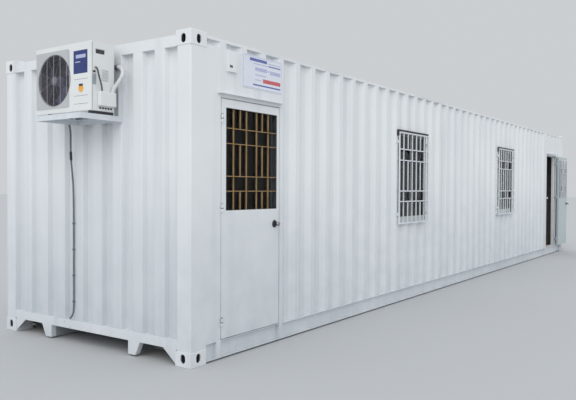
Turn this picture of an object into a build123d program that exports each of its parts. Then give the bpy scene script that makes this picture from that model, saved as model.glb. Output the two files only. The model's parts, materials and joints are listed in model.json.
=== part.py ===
from build123d import *
from math import ceil, cos, floor, radians, sin
import os

os.makedirs("parts", exist_ok=True)

# Portable site cabin made from a forty-foot steel container.
# X runs along the cabin, from the near end with the condenser unit to the far end.
# The long wall with the doors and windows faces -Y, and +Z is up from the floor the castings stand on.

# Whole cabin, measured over its corner castings
cabin_length = 12192.0
cabin_width = 2438.0
cabin_height = 2591.0

# Corner castings, hollow boxes that take twistlocks
casting_length = 178.0
casting_width = 162.0
casting_height = 118.0
casting_slot_plate = 28.5
casting_post_plate = 14.0
casting_outer_wall = 40.0
casting_inner_wall = 12.0
casting_edge_radius = 4.0
twistlock_spacing_x = 11985.0
twistlock_spacing_y = 2259.0
twistlock_slot_length = 124.0
twistlock_slot_width = 63.5
side_hole_height = 72.0
side_hole_width = 51.0

# Corner posts, square tubes between the castings
post_width = 145.0
post_wall = 6.0
post_setback = 4.0

# Side sheets and the rails above and below them. A drop is measured down from the cabin's height
sheet = 2.0
side_setback = 6.0
side_depth = 36.0
side_pitch = 268.0
side_slope = 66.0
side_trough = 70.0
side_rail_setback = 5.0
side_rail_bottom = 15.0
side_rail_top = 157.0
side_rail_plate = 5.0
side_rail_recess = 32.0
top_rail_drop = 19.0
top_rail_height = 24.0
top_rail_width = 90.0
top_rail_wall = 4.0

# End sheets, sills and headers
end_setback = 6.0
end_depth = 46.0
end_troughs = 9
end_trough = 104.0
end_slope = 18.0
end_lip = 5.0
sill_bottom = 127.0
sill_top = 205.0
header_drop = 31.0
end_member_wall = 5.0
gusset_length = 140.0
gusset_plate = 8.0

# Gooseneck tunnel under the near end
tunnel_width = 1029.0
tunnel_length = 3315.0
tunnel_plate = 5.0
foot_top_width = 140.0
foot_bottom_width = 85.0
foot_clearance = 16.0

# Floor, linings, ceiling and roof
floor_thickness = 28.0
beam_pitch = 420.0
beam_width = 45.0
beam_plate = 5.0
lining_thickness = 52.0
ceiling_thickness = 50.0
roof_pitch = 209.0
roof_slope = 18.0
roof_trough = 88.0
roof_depth = 18.0

# Doors: places are distances from the near end, and from the far end for the second door
doorway_width = 807.0
doorway_drop = 481.0
near_door_offset = 353.0
far_door_offset = 609.0
door_frame_width = 50.0
door_lintel_height = 28.0
door_stop = 15.0
door_gap = 8.0
door_floor_gap = 5.0
door_stop_gap = 6.0
leaf_thickness = 40.0
leaf_stile = 34.0
leaf_hinge_stile = 58.0
leaf_top_rail = 69.0
leaf_window_bottom = 1199.0
door_glass = 5.0
door_glass_setback = 27.0
far_door_open_angle = 180.0
flat_margin = 5.0
recess_height = 46.0

# Door furniture
low_hinge_height = 302.0
middle_hinge_height = 1222.0
top_hinge_drop = 167.0
hinge_height = 64.0
hinge_radius = 8.0
hinge_pin_radius = 5.0
hinge_pin_clearance = 0.3
hinge_pin_standoff = 12.0
hinge_plate = 3.0
hinge_plate_depth = 38.0
hinge_split = 1.0
knob_backset = 69.0
knob_height = 1065.0
knob_radius = 22.0
knob_length = 28.0
knob_reach = 60.0
rose_radius = 24.0
rose_thickness = 8.0
knob_stem_radius = 9.0

# Weather drip over each doorway
drip_reach = 36.0
drip_plate = 5.0
drip_upstand = 26.0
drip_start_lap = 42.0
drip_end_lap = 17.0

# Windows, with the frame of a steel grille in front of each
near_window_offset = 4016.0
far_window_offset = 7890.0
window_width = 826.0
window_height = 1078.0
window_centre_height = 1514.0
window_reveal = 20.0
sash_width = 22.0
sash_bottom_rail = 66.0
sash_depth = 22.0
sash_setback = 22.0
window_glass_thickness = 5.0
grille_bar = 16.0
grille_standoff = 20.0
grille_lug_height = 36.0
grille_lug_reach = 28.0
grille_lug_inset = 120.0
grille_lug_plate = 4.0

# Sign board and air vent on the door wall, by distance from the near end
sign_start = 623.0
sign_width = 557.0
sign_drop = 81.0
sign_height = 280.0
sign_thickness = 4.0
vent_start = 422.0
vent_width = 106.0
vent_drop = 105.0
vent_height = 162.0
vent_depth = 24.0
vent_slot_inset = 10.0
vent_slot_height = 20.0
vent_slot_width = 40.0
vent_wall = 3.0

# Condenser unit of the air conditioner on the near end wall
condenser_centre_y = -76.0
condenser_width = 736.0
condenser_depth = 228.0
condenser_height = 548.0
condenser_wall_gap = 72.0
condenser_edge_radius = 14.0
condenser_foot_height = 26.0
condenser_foot_width = 30.0
fan_centre_inset = 256.0
fan_centre_height = 271.0
fan_bore_radius = 206.0
fan_bore_depth = 165.0
fan_radius = 192.0
fan_hub_radius = 45.0
fan_hub_length = 60.0
fan_setback = 45.0
fan_blades = 3
fan_blade_thickness = 4.0
fan_blade_tilt = 24.0
fan_blade_width = 120.0
motor_radius = 60.0
shaft_radius = 6.0
shaft_clearance = 0.3
motor_gap = 6.0
guard_radius = 214.0
guard_wire = 5.0
guard_hub_radius = 36.0
guard_spokes = 8
guard_rings = 5
valve_cover_setback = 16.0
valve_cover_length = 160.0
valve_cover_bottom = 38.0
valve_cover_height = 116.0
valve_cover_reach = 40.0

# Shelf of angle steel that carries the condenser
shelf_reach = 412.0
shelf_start_y = -443.0
shelf_width = 566.0
shelf_drop = 626.0
shelf_angle = 44.0
shelf_plate = 5.0
shelf_leg_width = 38.0
shelf_leg_height = 350.0

# Pipes, cable and drain hose of the condenser
pipe_radius = 17.0
pipe_rise = 226.0
pipe_entry_y = -372.0
cable_radius = 5.0
hose_radius = 8.0
hose_clip_plate = 2.0
hose_clip_height = 12.0
hose_clearance = 0.3
hose_trough = 5
hose_edge_inset = 2.0
hose_clip_places = (370.0, 600.0, 830.0, 1060.0)

# Planes that several pieces share
half_length = cabin_length / 2
half_width = cabin_width / 2
post_end = half_length - casting_length
side_face = half_width - side_setback
side_inner = side_face - side_depth - sheet
lining_inner = side_inner - lining_thickness
end_face = half_length - end_setback
end_inner = end_face - end_depth - sheet
end_lining_inner = end_inner - lining_thickness
post_side = half_width - post_width
casting_side = half_width - casting_width
upper_casting_bottom = cabin_height - casting_height
ceiling_bottom = upper_casting_bottom
top_rail_top = cabin_height - top_rail_drop
top_rail_bottom = top_rail_top - top_rail_height
header_top = cabin_height - header_drop
floor_top = side_rail_top
floor_bottom = floor_top - floor_thickness
ends = (-1, 1)
sides = (-1, 1)
corners = [(along, across) for along in ends for across in sides]


def block(x_range, y_range, z_range, mode=Mode.ADD):
    """Upright block between two places on each axis."""
    spans = [sorted(limits) for limits in (x_range, y_range, z_range)]
    with Locations(tuple(sum(span) / 2 for span in spans)):
        Box(*[span[1] - span[0] for span in spans], mode=mode)


def corrugated_outline(start, end, first_trough, pitch, count, slope, trough, depth):
    """Outline of a corrugated sheet as pairs: along the wall, and in from its outer face."""
    outer = [(start, 0)]
    for number in range(count):
        edge = first_trough + number * pitch
        outer.append((edge, 0))
        outer.append((edge + slope, depth))
        outer.append((edge + slope + trough, depth))
        outer.append((edge + 2 * slope + trough, 0))
    outer.append((end, 0))
    inner = [(along, inward + sheet) for along, inward in reversed(outer)]
    return outer + inner


# Corner castings: edges are eased before the cavity and the holes are cut
def make_castings(along, level):
    """Two castings at one end, level 0 for the lower pair and 1 for the upper pair."""
    casting_bottom = level * upper_casting_bottom
    slot_face = level * cabin_height
    inward = 1 - 2 * level
    cavity_start = slot_face + inward * casting_slot_plate
    cavity_end = slot_face + inward * (casting_height - casting_post_plate)
    hole_height = (cavity_start + cavity_end) / 2
    with BuildPart() as castings:
        for across in sides:
            block(
                (along * half_length, along * post_end),
                (across * half_width, across * casting_side),
                (casting_bottom, casting_bottom + casting_height),
            )
        fillet(castings.edges(), radius=casting_edge_radius)
        for across in sides:
            block(
                (
                    along * (half_length - casting_outer_wall),
                    along * (post_end + casting_inner_wall),
                ),
                (
                    across * (half_width - casting_outer_wall),
                    across * (casting_side + casting_inner_wall),
                ),
                (cavity_start, cavity_end),
                mode=Mode.SUBTRACT,
            )
            with BuildSketch(Plane.XY.offset(slot_face)):
                with Locations((along * twistlock_spacing_x / 2, across * twistlock_spacing_y / 2)):
                    SlotOverall(twistlock_slot_length, twistlock_slot_width)
            extrude(amount=casting_slot_plate + 1, both=True, mode=Mode.SUBTRACT)
            with BuildSketch(Plane.XZ.offset(-across * half_width)):
                with Locations((along * (half_length - casting_length / 2), hole_height)):
                    SlotOverall(side_hole_height, side_hole_width, rotation=90)
            extrude(amount=casting_outer_wall + 1, both=True, mode=Mode.SUBTRACT)
            with BuildSketch(Plane.YZ.offset(along * half_length)):
                with Locations((across * (half_width - casting_width / 2), hole_height)):
                    SlotOverall(side_hole_height, side_hole_width, rotation=90)
            extrude(amount=casting_outer_wall + 1, both=True, mode=Mode.SUBTRACT)
    return castings.part


near_lower_castings = make_castings(-1, 0)
near_lower_castings.label = "near_lower_castings"
export_step(near_lower_castings, "parts/near_lower_castings.step")

far_lower_castings = make_castings(1, 0)
far_lower_castings.label = "far_lower_castings"
export_step(far_lower_castings, "parts/far_lower_castings.step")

near_upper_castings = make_castings(-1, 1)
near_upper_castings.label = "near_upper_castings"
export_step(near_upper_castings, "parts/near_upper_castings.step")

far_upper_castings = make_castings(1, 1)
far_upper_castings.label = "far_upper_castings"
export_step(far_upper_castings, "parts/far_upper_castings.step")

# Corner posts: tubes that stand on the lower castings and carry the upper ones
with BuildPart() as corner_posts:
    for along, across in corners:
        outer_x = half_length - post_setback
        outer_y = half_width - post_setback
        block(
            (along * outer_x, along * post_end),
            (across * outer_y, across * post_side),
            (casting_height, upper_casting_bottom),
        )
        block(
            (along * (outer_x - post_wall), along * (post_end + post_wall)),
            (across * (outer_y - post_wall), across * (post_side + post_wall)),
            (casting_height, upper_casting_bottom),
            mode=Mode.SUBTRACT,
        )
corner_posts.part.label = "corner_posts"
export_step(corner_posts.part, "parts/corner_posts.step")

# Bottom side rails: channels with their open side outwards
side_rail_face = half_width - side_rail_setback
side_rail_web = side_rail_face - side_rail_recess
with BuildPart() as bottom_side_rails:
    for across in sides:
        block(
            (-post_end, post_end),
            (across * side_rail_face, across * side_inner),
            (side_rail_bottom, side_rail_top),
        )
        block(
            (-post_end, post_end),
            (across * side_rail_face, across * side_rail_web),
            (side_rail_bottom + side_rail_plate, side_rail_top - side_rail_plate),
            mode=Mode.SUBTRACT,
        )
bottom_side_rails.part.label = "bottom_side_rails"
export_step(bottom_side_rails.part, "parts/bottom_side_rails.step")

# Top side rails: low flat tubes over the side sheets
with BuildPart() as top_side_rails:
    for across in sides:
        block(
            (-post_end, post_end),
            (across * side_face, across * (side_face - top_rail_width)),
            (top_rail_bottom, top_rail_top),
        )
        block(
            (-post_end, post_end),
            (
                across * (side_face - top_rail_wall),
                across * (side_face - top_rail_width + top_rail_wall),
            ),
            (top_rail_bottom + top_rail_wall, top_rail_top - top_rail_wall),
            mode=Mode.SUBTRACT,
        )
top_side_rails.part.label = "top_side_rails"
export_step(top_side_rails.part, "parts/top_side_rails.step")

# End sills: channels between the posts that carry the end sheets
with BuildPart() as end_sills:
    for along in ends:
        block(
            (along * end_face, along * end_inner),
            (-post_side, post_side),
            (sill_bottom, sill_top),
        )
        block(
            (along * (end_face - end_member_wall), along * end_inner),
            (-post_side, post_side),
            (sill_bottom + end_member_wall, sill_top - end_member_wall),
            mode=Mode.SUBTRACT,
        )
end_sills.part.label = "end_sills"
export_step(end_sills.part, "parts/end_sills.step")

# End headers: channels between the upper castings, each with a plate reaching to the roof sheet
with BuildPart() as end_headers:
    for along in ends:
        block(
            (along * end_face, along * end_inner),
            (-casting_side, casting_side),
            (upper_casting_bottom, header_top),
        )
        block(
            (along * (end_face - end_member_wall), along * end_inner),
            (-casting_side, casting_side),
            (upper_casting_bottom + end_member_wall, header_top - end_member_wall),
            mode=Mode.SUBTRACT,
        )
        block(
            (along * end_inner, along * post_end),
            (-casting_side, casting_side),
            (header_top - end_member_wall, header_top),
        )
end_headers.part.label = "end_headers"
export_step(end_headers.part, "parts/end_headers.step")

# Gussets: triangular plates from the lower castings up to the sills
with BuildPart() as sill_gussets:
    for along, across in corners:
        with BuildSketch(Plane.YZ.offset(along * end_face)):
            with BuildLine():
                Polyline(
                    (across * casting_side, side_rail_bottom),
                    (across * casting_side, sill_bottom),
                    (across * (casting_side - gusset_length), sill_bottom),
                    close=True,
                )
            make_face()
        extrude(amount=-along * gusset_plate)
sill_gussets.part.label = "sill_gussets"
export_step(sill_gussets.part, "parts/sill_gussets.step")

# Gooseneck tunnel: an upturned trough that opens at the near end and underneath
tunnel_start = -end_inner
tunnel_end = tunnel_start + tunnel_length
tunnel_outer = tunnel_width / 2 + tunnel_plate
with BuildPart() as gooseneck_tunnel:
    block(
        (tunnel_start, tunnel_end),
        (-tunnel_outer, tunnel_outer),
        (side_rail_bottom, floor_bottom),
    )
    block(
        (tunnel_start, tunnel_end - tunnel_plate),
        (-tunnel_width / 2, tunnel_width / 2),
        (side_rail_bottom, floor_bottom - tunnel_plate),
        mode=Mode.SUBTRACT,
    )
gooseneck_tunnel.part.label = "gooseneck_tunnel"
export_step(gooseneck_tunnel.part, "parts/gooseneck_tunnel.step")

# Tunnel feet: tapered blocks under the near sill, one at each side of the tunnel mouth
with BuildPart() as tunnel_feet:
    for across in sides:
        with BuildSketch(Plane.YZ.offset(-end_face)):
            with BuildLine():
                Polyline(
                    (across * tunnel_width / 2, sill_bottom),
                    (across * tunnel_width / 2, foot_clearance),
                    (across * (tunnel_width / 2 + foot_bottom_width), foot_clearance),
                    (across * (tunnel_width / 2 + foot_top_width), sill_bottom),
                    close=True,
                )
            make_face()
        extrude(amount=end_face - end_inner)
tunnel_feet.part.label = "tunnel_feet"
export_step(tunnel_feet.part, "parts/tunnel_feet.step")

# Floor beams: channels between the side rails, cut short beside the tunnel
beam_height = floor_bottom - side_rail_bottom
beam_section = [
    (0, 0),
    (beam_width, 0),
    (beam_width, beam_plate),
    (beam_plate, beam_plate),
    (beam_plate, beam_height - beam_plate),
    (beam_width, beam_height - beam_plate),
    (beam_width, beam_height),
    (0, beam_height),
]
short_beam_count = floor((tunnel_length - beam_width) / beam_pitch)
long_beam_count = floor((end_inner - tunnel_end - beam_width) / beam_pitch)
short_beams = [tunnel_start + beam_pitch * (number + 0.5) for number in range(short_beam_count)]
long_beams = [tunnel_end + beam_pitch * (number + 0.5) for number in range(long_beam_count)]
with BuildPart() as floor_beams:
    with BuildSketch(Plane.XZ.offset(side_inner)):
        with Locations(*[(beam_x, side_rail_bottom) for beam_x in short_beams]):
            Polygon(*beam_section, align=None)
    extrude(amount=tunnel_outer - side_inner)
    mirror(about=Plane.XZ)
    with BuildSketch(Plane.XZ.offset(side_inner)):
        with Locations(*[(beam_x, side_rail_bottom) for beam_x in long_beams]):
            Polygon(*beam_section, align=None)
    extrude(amount=-2 * side_inner)
floor_beams.part.label = "floor_beams"
export_step(floor_beams.part, "parts/floor_beams.step")

# Floor deck: boards on the beams, notched around the posts
with BuildPart() as floor_deck:
    block((-end_inner, end_inner), (-side_inner, side_inner), (floor_bottom, floor_top))
    for along, across in corners:
        block(
            (along * end_inner, along * post_end),
            (across * side_inner, across * post_side),
            (floor_bottom, floor_top),
            mode=Mode.SUBTRACT,
        )
floor_deck.part.label = "floor_deck"
export_step(floor_deck.part, "parts/floor_deck.step")

# End skins: corrugated sheets between the posts, from the sills up to the headers
end_outer_pitch = (2 * post_side - 2 * end_lip - end_trough - 2 * end_slope) / (end_troughs - 1)
end_outline = corrugated_outline(
    -post_side,
    post_side,
    -post_side + end_lip,
    end_outer_pitch,
    end_troughs,
    end_slope,
    end_trough,
    end_depth,
)
with BuildPart() as end_skins:
    for along in ends:
        with BuildSketch(Plane.XY.offset(sill_top)):
            with BuildLine():
                Polyline(
                    *[(along * (end_face - inward), across) for across, inward in end_outline],
                    close=True,
                )
            make_face()
        extrude(amount=upper_casting_bottom - sill_top)
end_skins.part.label = "end_skins"
export_step(end_skins.part, "parts/end_skins.step")

# Back skin: one corrugated sheet from post to post
side_sheet_height = top_rail_bottom - side_rail_top
back_corrugations = floor(2 * post_end / side_pitch)
back_first_trough = -back_corrugations * side_pitch / 2 + (side_pitch - side_trough) / 2 - side_slope
back_outline = corrugated_outline(
    -post_end,
    post_end,
    back_first_trough,
    side_pitch,
    back_corrugations,
    side_slope,
    side_trough,
    side_depth,
)
with BuildPart() as back_skin:
    with BuildSketch(Plane.XY.offset(side_rail_top)):
        with BuildLine():
            Polyline(*[(along, side_face - inward) for along, inward in back_outline], close=True)
        make_face()
    extrude(amount=side_sheet_height)
back_skin.part.label = "back_skin"
export_step(back_skin.part, "parts/back_skin.step")

# Doorways, each as the X of its two sides
near_doorway = (-half_length + near_door_offset, -half_length + near_door_offset + doorway_width)
far_doorway = (half_length - far_door_offset - doorway_width, half_length - far_door_offset)
doorways = (near_doorway, far_doorway)
doorway_top = cabin_height - doorway_drop
door_frame_top = doorway_top + door_lintel_height
door_frames_outer = [(left - door_frame_width, right + door_frame_width) for left, right in doorways]
near_frame_right = door_frames_outer[0][1]
far_frame_left = door_frames_outer[1][0]

# Window cuts in the front wall, each as a range of X
window_centres = (-half_length + near_window_offset, -half_length + far_window_offset)
window_cut_width = window_width + 2 * window_reveal
window_cut_height = window_height + 2 * window_reveal
window_cuts = [(x - window_cut_width / 2, x + window_cut_width / 2) for x in window_centres]
window_cut_z = (
    window_centre_height - window_cut_height / 2,
    window_centre_height + window_cut_height / 2,
)

# Front skin between the doors: flat beside the near door, then corrugated, with both windows cut out
corrugation_start = near_frame_right + flat_margin
front_corrugations = floor((far_frame_left - flat_margin - corrugation_start) / side_pitch)
front_outline = corrugated_outline(
    near_frame_right,
    far_frame_left,
    corrugation_start,
    side_pitch,
    front_corrugations,
    side_slope,
    side_trough,
    side_depth,
)
with BuildPart() as front_skin_middle:
    with BuildSketch(Plane.XY.offset(side_rail_top)):
        with BuildLine():
            Polyline(*[(along, inward - side_face) for along, inward in front_outline], close=True)
        make_face()
    extrude(amount=side_sheet_height)
    for cut in window_cuts:
        block(cut, (-side_face, -side_inner), window_cut_z, mode=Mode.SUBTRACT)
front_skin_middle.part.label = "front_skin_middle"
export_step(front_skin_middle.part, "parts/front_skin_middle.step")

# Front skin round the doors: flat sheet that stops under the top rail, with the corrugation showing above it
flat_top = top_rail_bottom - recess_height
near_recesses = ceil((corrugation_start + post_end) / side_pitch)
near_recess_run = (corrugation_start - near_recesses * side_pitch, corrugation_start)
corrugation_end = corrugation_start + front_corrugations * side_pitch
far_recesses = ceil((post_end - corrugation_end) / side_pitch)
far_recess_run = (corrugation_end, corrugation_end + far_recesses * side_pitch)


def make_flat_sheet(span, bottom, recess_run, recesses):
    """Flat sheet over a range of X, with a band of corrugation and a closing ledge at its top."""
    band = corrugated_outline(
        recess_run[0] - flat_margin,
        recess_run[1],
        recess_run[0],
        side_pitch,
        recesses,
        side_slope,
        side_trough,
        side_depth,
    )
    with BuildPart() as piece:
        with BuildSketch(Plane.XY.offset(flat_top)):
            with BuildLine():
                Polyline(*[(along, inward - side_face) for along, inward in band], close=True)
            make_face()
        extrude(amount=recess_height)
        block(recess_run, (-side_face, -side_inner), (flat_top - sheet, flat_top))
        block(span, (-side_face, -side_inner), (bottom, top_rail_bottom), mode=Mode.INTERSECT)
        block(span, (-side_face, -side_face + sheet), (bottom, flat_top))
    return piece.part


near_strip = (-post_end, door_frames_outer[0][0])
far_strip = (door_frames_outer[1][1], post_end)
front_skin_ends = Compound(
    [
        make_flat_sheet(near_strip, side_rail_top, near_recess_run, near_recesses),
        make_flat_sheet(far_strip, side_rail_top, far_recess_run, far_recesses),
    ]
)
front_skin_ends.label = "front_skin_ends"
export_step(front_skin_ends, "parts/front_skin_ends.step")

# Front skin over the doors
front_skin_heads = Compound(
    [
        make_flat_sheet(door_frames_outer[0], door_frame_top, near_recess_run, near_recesses),
        make_flat_sheet(door_frames_outer[1], door_frame_top, far_recess_run, far_recesses),
    ]
)
front_skin_heads.label = "front_skin_heads"
export_step(front_skin_heads, "parts/front_skin_heads.step")

# Linings: insulated panels behind the skins, standing on the floor deck
lining_z = (floor_top, ceiling_bottom)
with BuildPart() as end_linings:
    for along in ends:
        block((along * end_inner, along * end_lining_inner), (-post_side, post_side), lining_z)
end_linings.part.label = "end_linings"
export_step(end_linings.part, "parts/end_linings.step")

with BuildPart() as back_lining:
    block((-post_end, post_end), (side_inner, lining_inner), lining_z)
back_lining.part.label = "back_lining"
export_step(back_lining.part, "parts/back_lining.step")

front_lining_y = (-side_inner, -lining_inner)
with BuildPart() as front_lining_middle:
    block((near_frame_right, far_frame_left), front_lining_y, lining_z)
    for cut in window_cuts:
        block(cut, front_lining_y, window_cut_z, mode=Mode.SUBTRACT)
front_lining_middle.part.label = "front_lining_middle"
export_step(front_lining_middle.part, "parts/front_lining_middle.step")

with BuildPart() as front_lining_ends:
    block((-post_end, door_frames_outer[0][0]), front_lining_y, lining_z)
    block((door_frames_outer[1][1], post_end), front_lining_y, lining_z)
front_lining_ends.part.label = "front_lining_ends"
export_step(front_lining_ends.part, "parts/front_lining_ends.step")

with BuildPart() as front_lining_heads:
    for frame_span in door_frames_outer:
        block(frame_span, front_lining_y, (door_frame_top, ceiling_bottom))
front_lining_heads.part.label = "front_lining_heads"
export_step(front_lining_heads.part, "parts/front_lining_heads.step")

# Ceiling: an insulated panel on top of the linings, and a strip between the castings at each end
ceiling_z = (ceiling_bottom, ceiling_bottom + ceiling_thickness)
with BuildPart() as ceiling_panel:
    block((-post_end, post_end), (-side_inner, side_inner), ceiling_z)
ceiling_panel.part.label = "ceiling_panel"
export_step(ceiling_panel.part, "parts/ceiling_panel.step")

with BuildPart() as ceiling_ends:
    for along in ends:
        block((along * post_end, along * end_inner), (-casting_side, casting_side), ceiling_z)
ceiling_ends.part.label = "ceiling_ends"
export_step(ceiling_ends.part, "parts/ceiling_ends.step")

# Roof: a sheet with ribs across the cabin, between the top rails
roof_side = side_face - top_rail_width
roof_corrugations = floor(2 * post_end / roof_pitch)
roof_first_trough = -roof_corrugations * roof_pitch / 2 + (roof_pitch - roof_trough) / 2 - roof_slope
roof_outline = corrugated_outline(
    -post_end,
    post_end,
    roof_first_trough,
    roof_pitch,
    roof_corrugations,
    roof_slope,
    roof_trough,
    roof_depth,
)
with BuildPart() as roof_sheet:
    with BuildSketch(Plane.XZ.offset(roof_side)):
        with BuildLine():
            Polyline(*[(along, top_rail_top - inward) for along, inward in roof_outline], close=True)
        make_face()
    extrude(amount=-2 * roof_side)
roof_sheet.part.label = "roof_sheet"
export_step(roof_sheet.part, "parts/roof_sheet.step")

# Door frames: two jambs and a lintel as deep as the wall, with a stop behind each leaf
door_stop_face = side_face - leaf_thickness - door_stop_gap
with BuildPart() as door_frames:
    for doorway, frame_span in zip(doorways, door_frames_outer):
        block(frame_span, (-side_face, -lining_inner), (floor_top, door_frame_top))
        block(doorway, (-side_face, -lining_inner), (floor_top, doorway_top), mode=Mode.SUBTRACT)
        block(doorway, (-door_stop_face, -lining_inner), (floor_top, doorway_top))
        block(
            (doorway[0] + door_stop, doorway[1] - door_stop),
            (-door_stop_face, -lining_inner),
            (floor_top + door_stop, doorway_top - door_stop),
            mode=Mode.SUBTRACT,
        )
door_frames.part.label = "door_frames"
export_step(door_frames.part, "parts/door_frames.step")

# Rail stiffeners: blocks in the bottom rail's channel under each door jamb
with BuildPart() as rail_stiffeners:
    for doorway, frame_span in zip(doorways, door_frames_outer):
        for jamb in ((frame_span[0], doorway[0]), (doorway[1], frame_span[1])):
            block(
                jamb,
                (-side_rail_face, -side_rail_web),
                (side_rail_bottom + side_rail_plate, side_rail_top - side_rail_plate),
            )
rail_stiffeners.part.label = "rail_stiffeners"
export_step(rail_stiffeners.part, "parts/rail_stiffeners.step")

# Drips: bent strips that throw rain clear of each doorway
with BuildPart() as door_drips:
    for doorway in doorways:
        drip_span = (doorway[0] - drip_start_lap, doorway[1] + drip_end_lap)
        block(
            drip_span,
            (-side_face, -side_face - drip_reach),
            (door_frame_top, door_frame_top + drip_plate),
        )
        block(
            drip_span,
            (-side_face, -side_face - drip_plate),
            (door_frame_top, door_frame_top + drip_upstand),
        )
door_drips.part.label = "door_drips"
export_step(door_drips.part, "parts/door_drips.step")

# Door leaves are drawn shut, hung on a pin just outside the wall face.
# hand is 1 where the leaf reaches towards +X from its pin, and -1 where it reaches towards -X.
leaf_bottom = floor_top + door_floor_gap
leaf_top = doorway_top - door_gap
leaf_width = doorway_width - 2 * door_gap
pin_y = -side_face - hinge_pin_standoff
leaf_back_y = -side_face + leaf_thickness
near_pin_x = near_doorway[0] + door_gap / 2
far_pin_x = far_doorway[1] - door_gap / 2
hinge_heights = (low_hinge_height, middle_hinge_height, doorway_top - top_hinge_drop)


def leaf_span(pin_x, hand, from_hinge_edge, from_free_edge):
    """Range of X on a leaf, inset from its hinge edge and from its free edge."""
    hinge_edge = pin_x + hand * door_gap / 2
    return (hinge_edge + hand * from_hinge_edge, hinge_edge + hand * (leaf_width - from_free_edge))


def make_leaf(pin_x, hand):
    """Steel leaf with a window opening, its hinge plates and its half of each hinge barrel."""
    with BuildPart() as leaf:
        block(leaf_span(pin_x, hand, 0, 0), (-side_face, leaf_back_y), (leaf_bottom, leaf_top))
        block(
            leaf_span(pin_x, hand, leaf_hinge_stile, leaf_stile),
            (-side_face, leaf_back_y),
            (leaf_window_bottom, leaf_top - leaf_top_rail),
            mode=Mode.SUBTRACT,
        )
        for height in hinge_heights:
            barrel_z = (height + hinge_split / 2, height + hinge_height / 2)
            block(
                (pin_x + hand * (door_gap / 2 - hinge_plate), pin_x + hand * door_gap / 2),
                (pin_y, pin_y + hinge_plate_depth),
                barrel_z,
            )
            with BuildSketch(Plane.XY.offset(barrel_z[0])):
                with Locations((pin_x, pin_y)):
                    Circle(hinge_radius)
            extrude(amount=barrel_z[1] - barrel_z[0])
        for height in hinge_heights:
            with BuildSketch(Plane.XY.offset(height)):
                with Locations((pin_x, pin_y)):
                    Circle(hinge_pin_radius + hinge_pin_clearance)
            extrude(amount=hinge_height / 2, mode=Mode.SUBTRACT)
    return leaf.part


def make_leaf_glass(pin_x, hand):
    """Pane that fills the leaf's window opening."""
    with BuildPart() as glass:
        block(
            leaf_span(pin_x, hand, leaf_hinge_stile, leaf_stile),
            (-side_face + door_glass_setback, -side_face + door_glass_setback + door_glass),
            (leaf_window_bottom, leaf_top - leaf_top_rail),
        )
    return glass.part


def make_knobs(pin_x, hand):
    """Round knob with its rose on each face of a leaf."""
    knob_x = leaf_span(pin_x, hand, 0, knob_backset)[1]
    with BuildPart() as knobs:
        for face_y, outward in ((-side_face, 1), (leaf_back_y, -1)):
            steps = (
                (rose_radius, 0, rose_thickness),
                (knob_stem_radius, 0, knob_reach),
                (knob_radius, knob_reach - knob_length, knob_length),
            )
            for radius, start, length in steps:
                with BuildSketch(Plane.XZ.offset(-face_y + outward * start)):
                    with Locations((knob_x, knob_height)):
                        Circle(radius)
                extrude(amount=outward * length)
    return knobs.part


def opened(piece, pin_x, angle):
    """Turn a piece of the far door about its pin, from shut to open."""
    return piece.rotate(Axis((pin_x, pin_y, 0), (0, 0, 1)), angle)


near_door_leaf = make_leaf(near_pin_x, 1)
near_door_leaf.label = "near_door_leaf"
export_step(near_door_leaf, "parts/near_door_leaf.step")

near_door_glass = make_leaf_glass(near_pin_x, 1)
near_door_glass.label = "near_door_glass"
export_step(near_door_glass, "parts/near_door_glass.step")

near_door_knobs = make_knobs(near_pin_x, 1)
near_door_knobs.label = "near_door_knobs"
export_step(near_door_knobs, "parts/near_door_knobs.step")

far_door_leaf = opened(make_leaf(far_pin_x, -1), far_pin_x, far_door_open_angle)
far_door_leaf.label = "far_door_leaf"
export_step(far_door_leaf, "parts/far_door_leaf.step")

far_door_glass = opened(make_leaf_glass(far_pin_x, -1), far_pin_x, far_door_open_angle)
far_door_glass.label = "far_door_glass"
export_step(far_door_glass, "parts/far_door_glass.step")

far_door_knobs = opened(make_knobs(far_pin_x, -1), far_pin_x, far_door_open_angle)
far_door_knobs.label = "far_door_knobs"
export_step(far_door_knobs, "parts/far_door_knobs.step")

# Frame halves of the hinges: a barrel with a pin standing out of it, on a plate against the jamb
with BuildPart() as door_hinge_pins:
    for pin_x, hand in ((near_pin_x, 1), (far_pin_x, -1)):
        for height in hinge_heights:
            block(
                (pin_x - hand * door_gap / 2, pin_x - hand * (door_gap / 2 - hinge_plate)),
                (pin_y, pin_y + hinge_plate_depth),
                (height - hinge_height / 2, height - hinge_split / 2),
            )
            steps = (
                (hinge_radius, hinge_height / 2 - hinge_split / 2),
                (hinge_pin_radius, hinge_height - hinge_split),
            )
            for radius, length in steps:
                with BuildSketch(Plane.XY.offset(height - hinge_height / 2)):
                    with Locations((pin_x, pin_y)):
                        Circle(radius)
                extrude(amount=length)
door_hinge_pins.part.label = "door_hinge_pins"
export_step(door_hinge_pins.part, "parts/door_hinge_pins.step")

# Window frames: steel boxes that line the cuts through the wall
window_clear_z = (window_cut_z[0] + window_reveal, window_cut_z[1] - window_reveal)
window_clears = [(x - window_width / 2, x + window_width / 2) for x in window_centres]
with BuildPart() as window_frames:
    for cut, clear in zip(window_cuts, window_clears):
        block(cut, (-side_face, -lining_inner), window_cut_z)
        block(clear, (-side_face, -lining_inner), window_clear_z, mode=Mode.SUBTRACT)
window_frames.part.label = "window_frames"
export_step(window_frames.part, "parts/window_frames.step")

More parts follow.
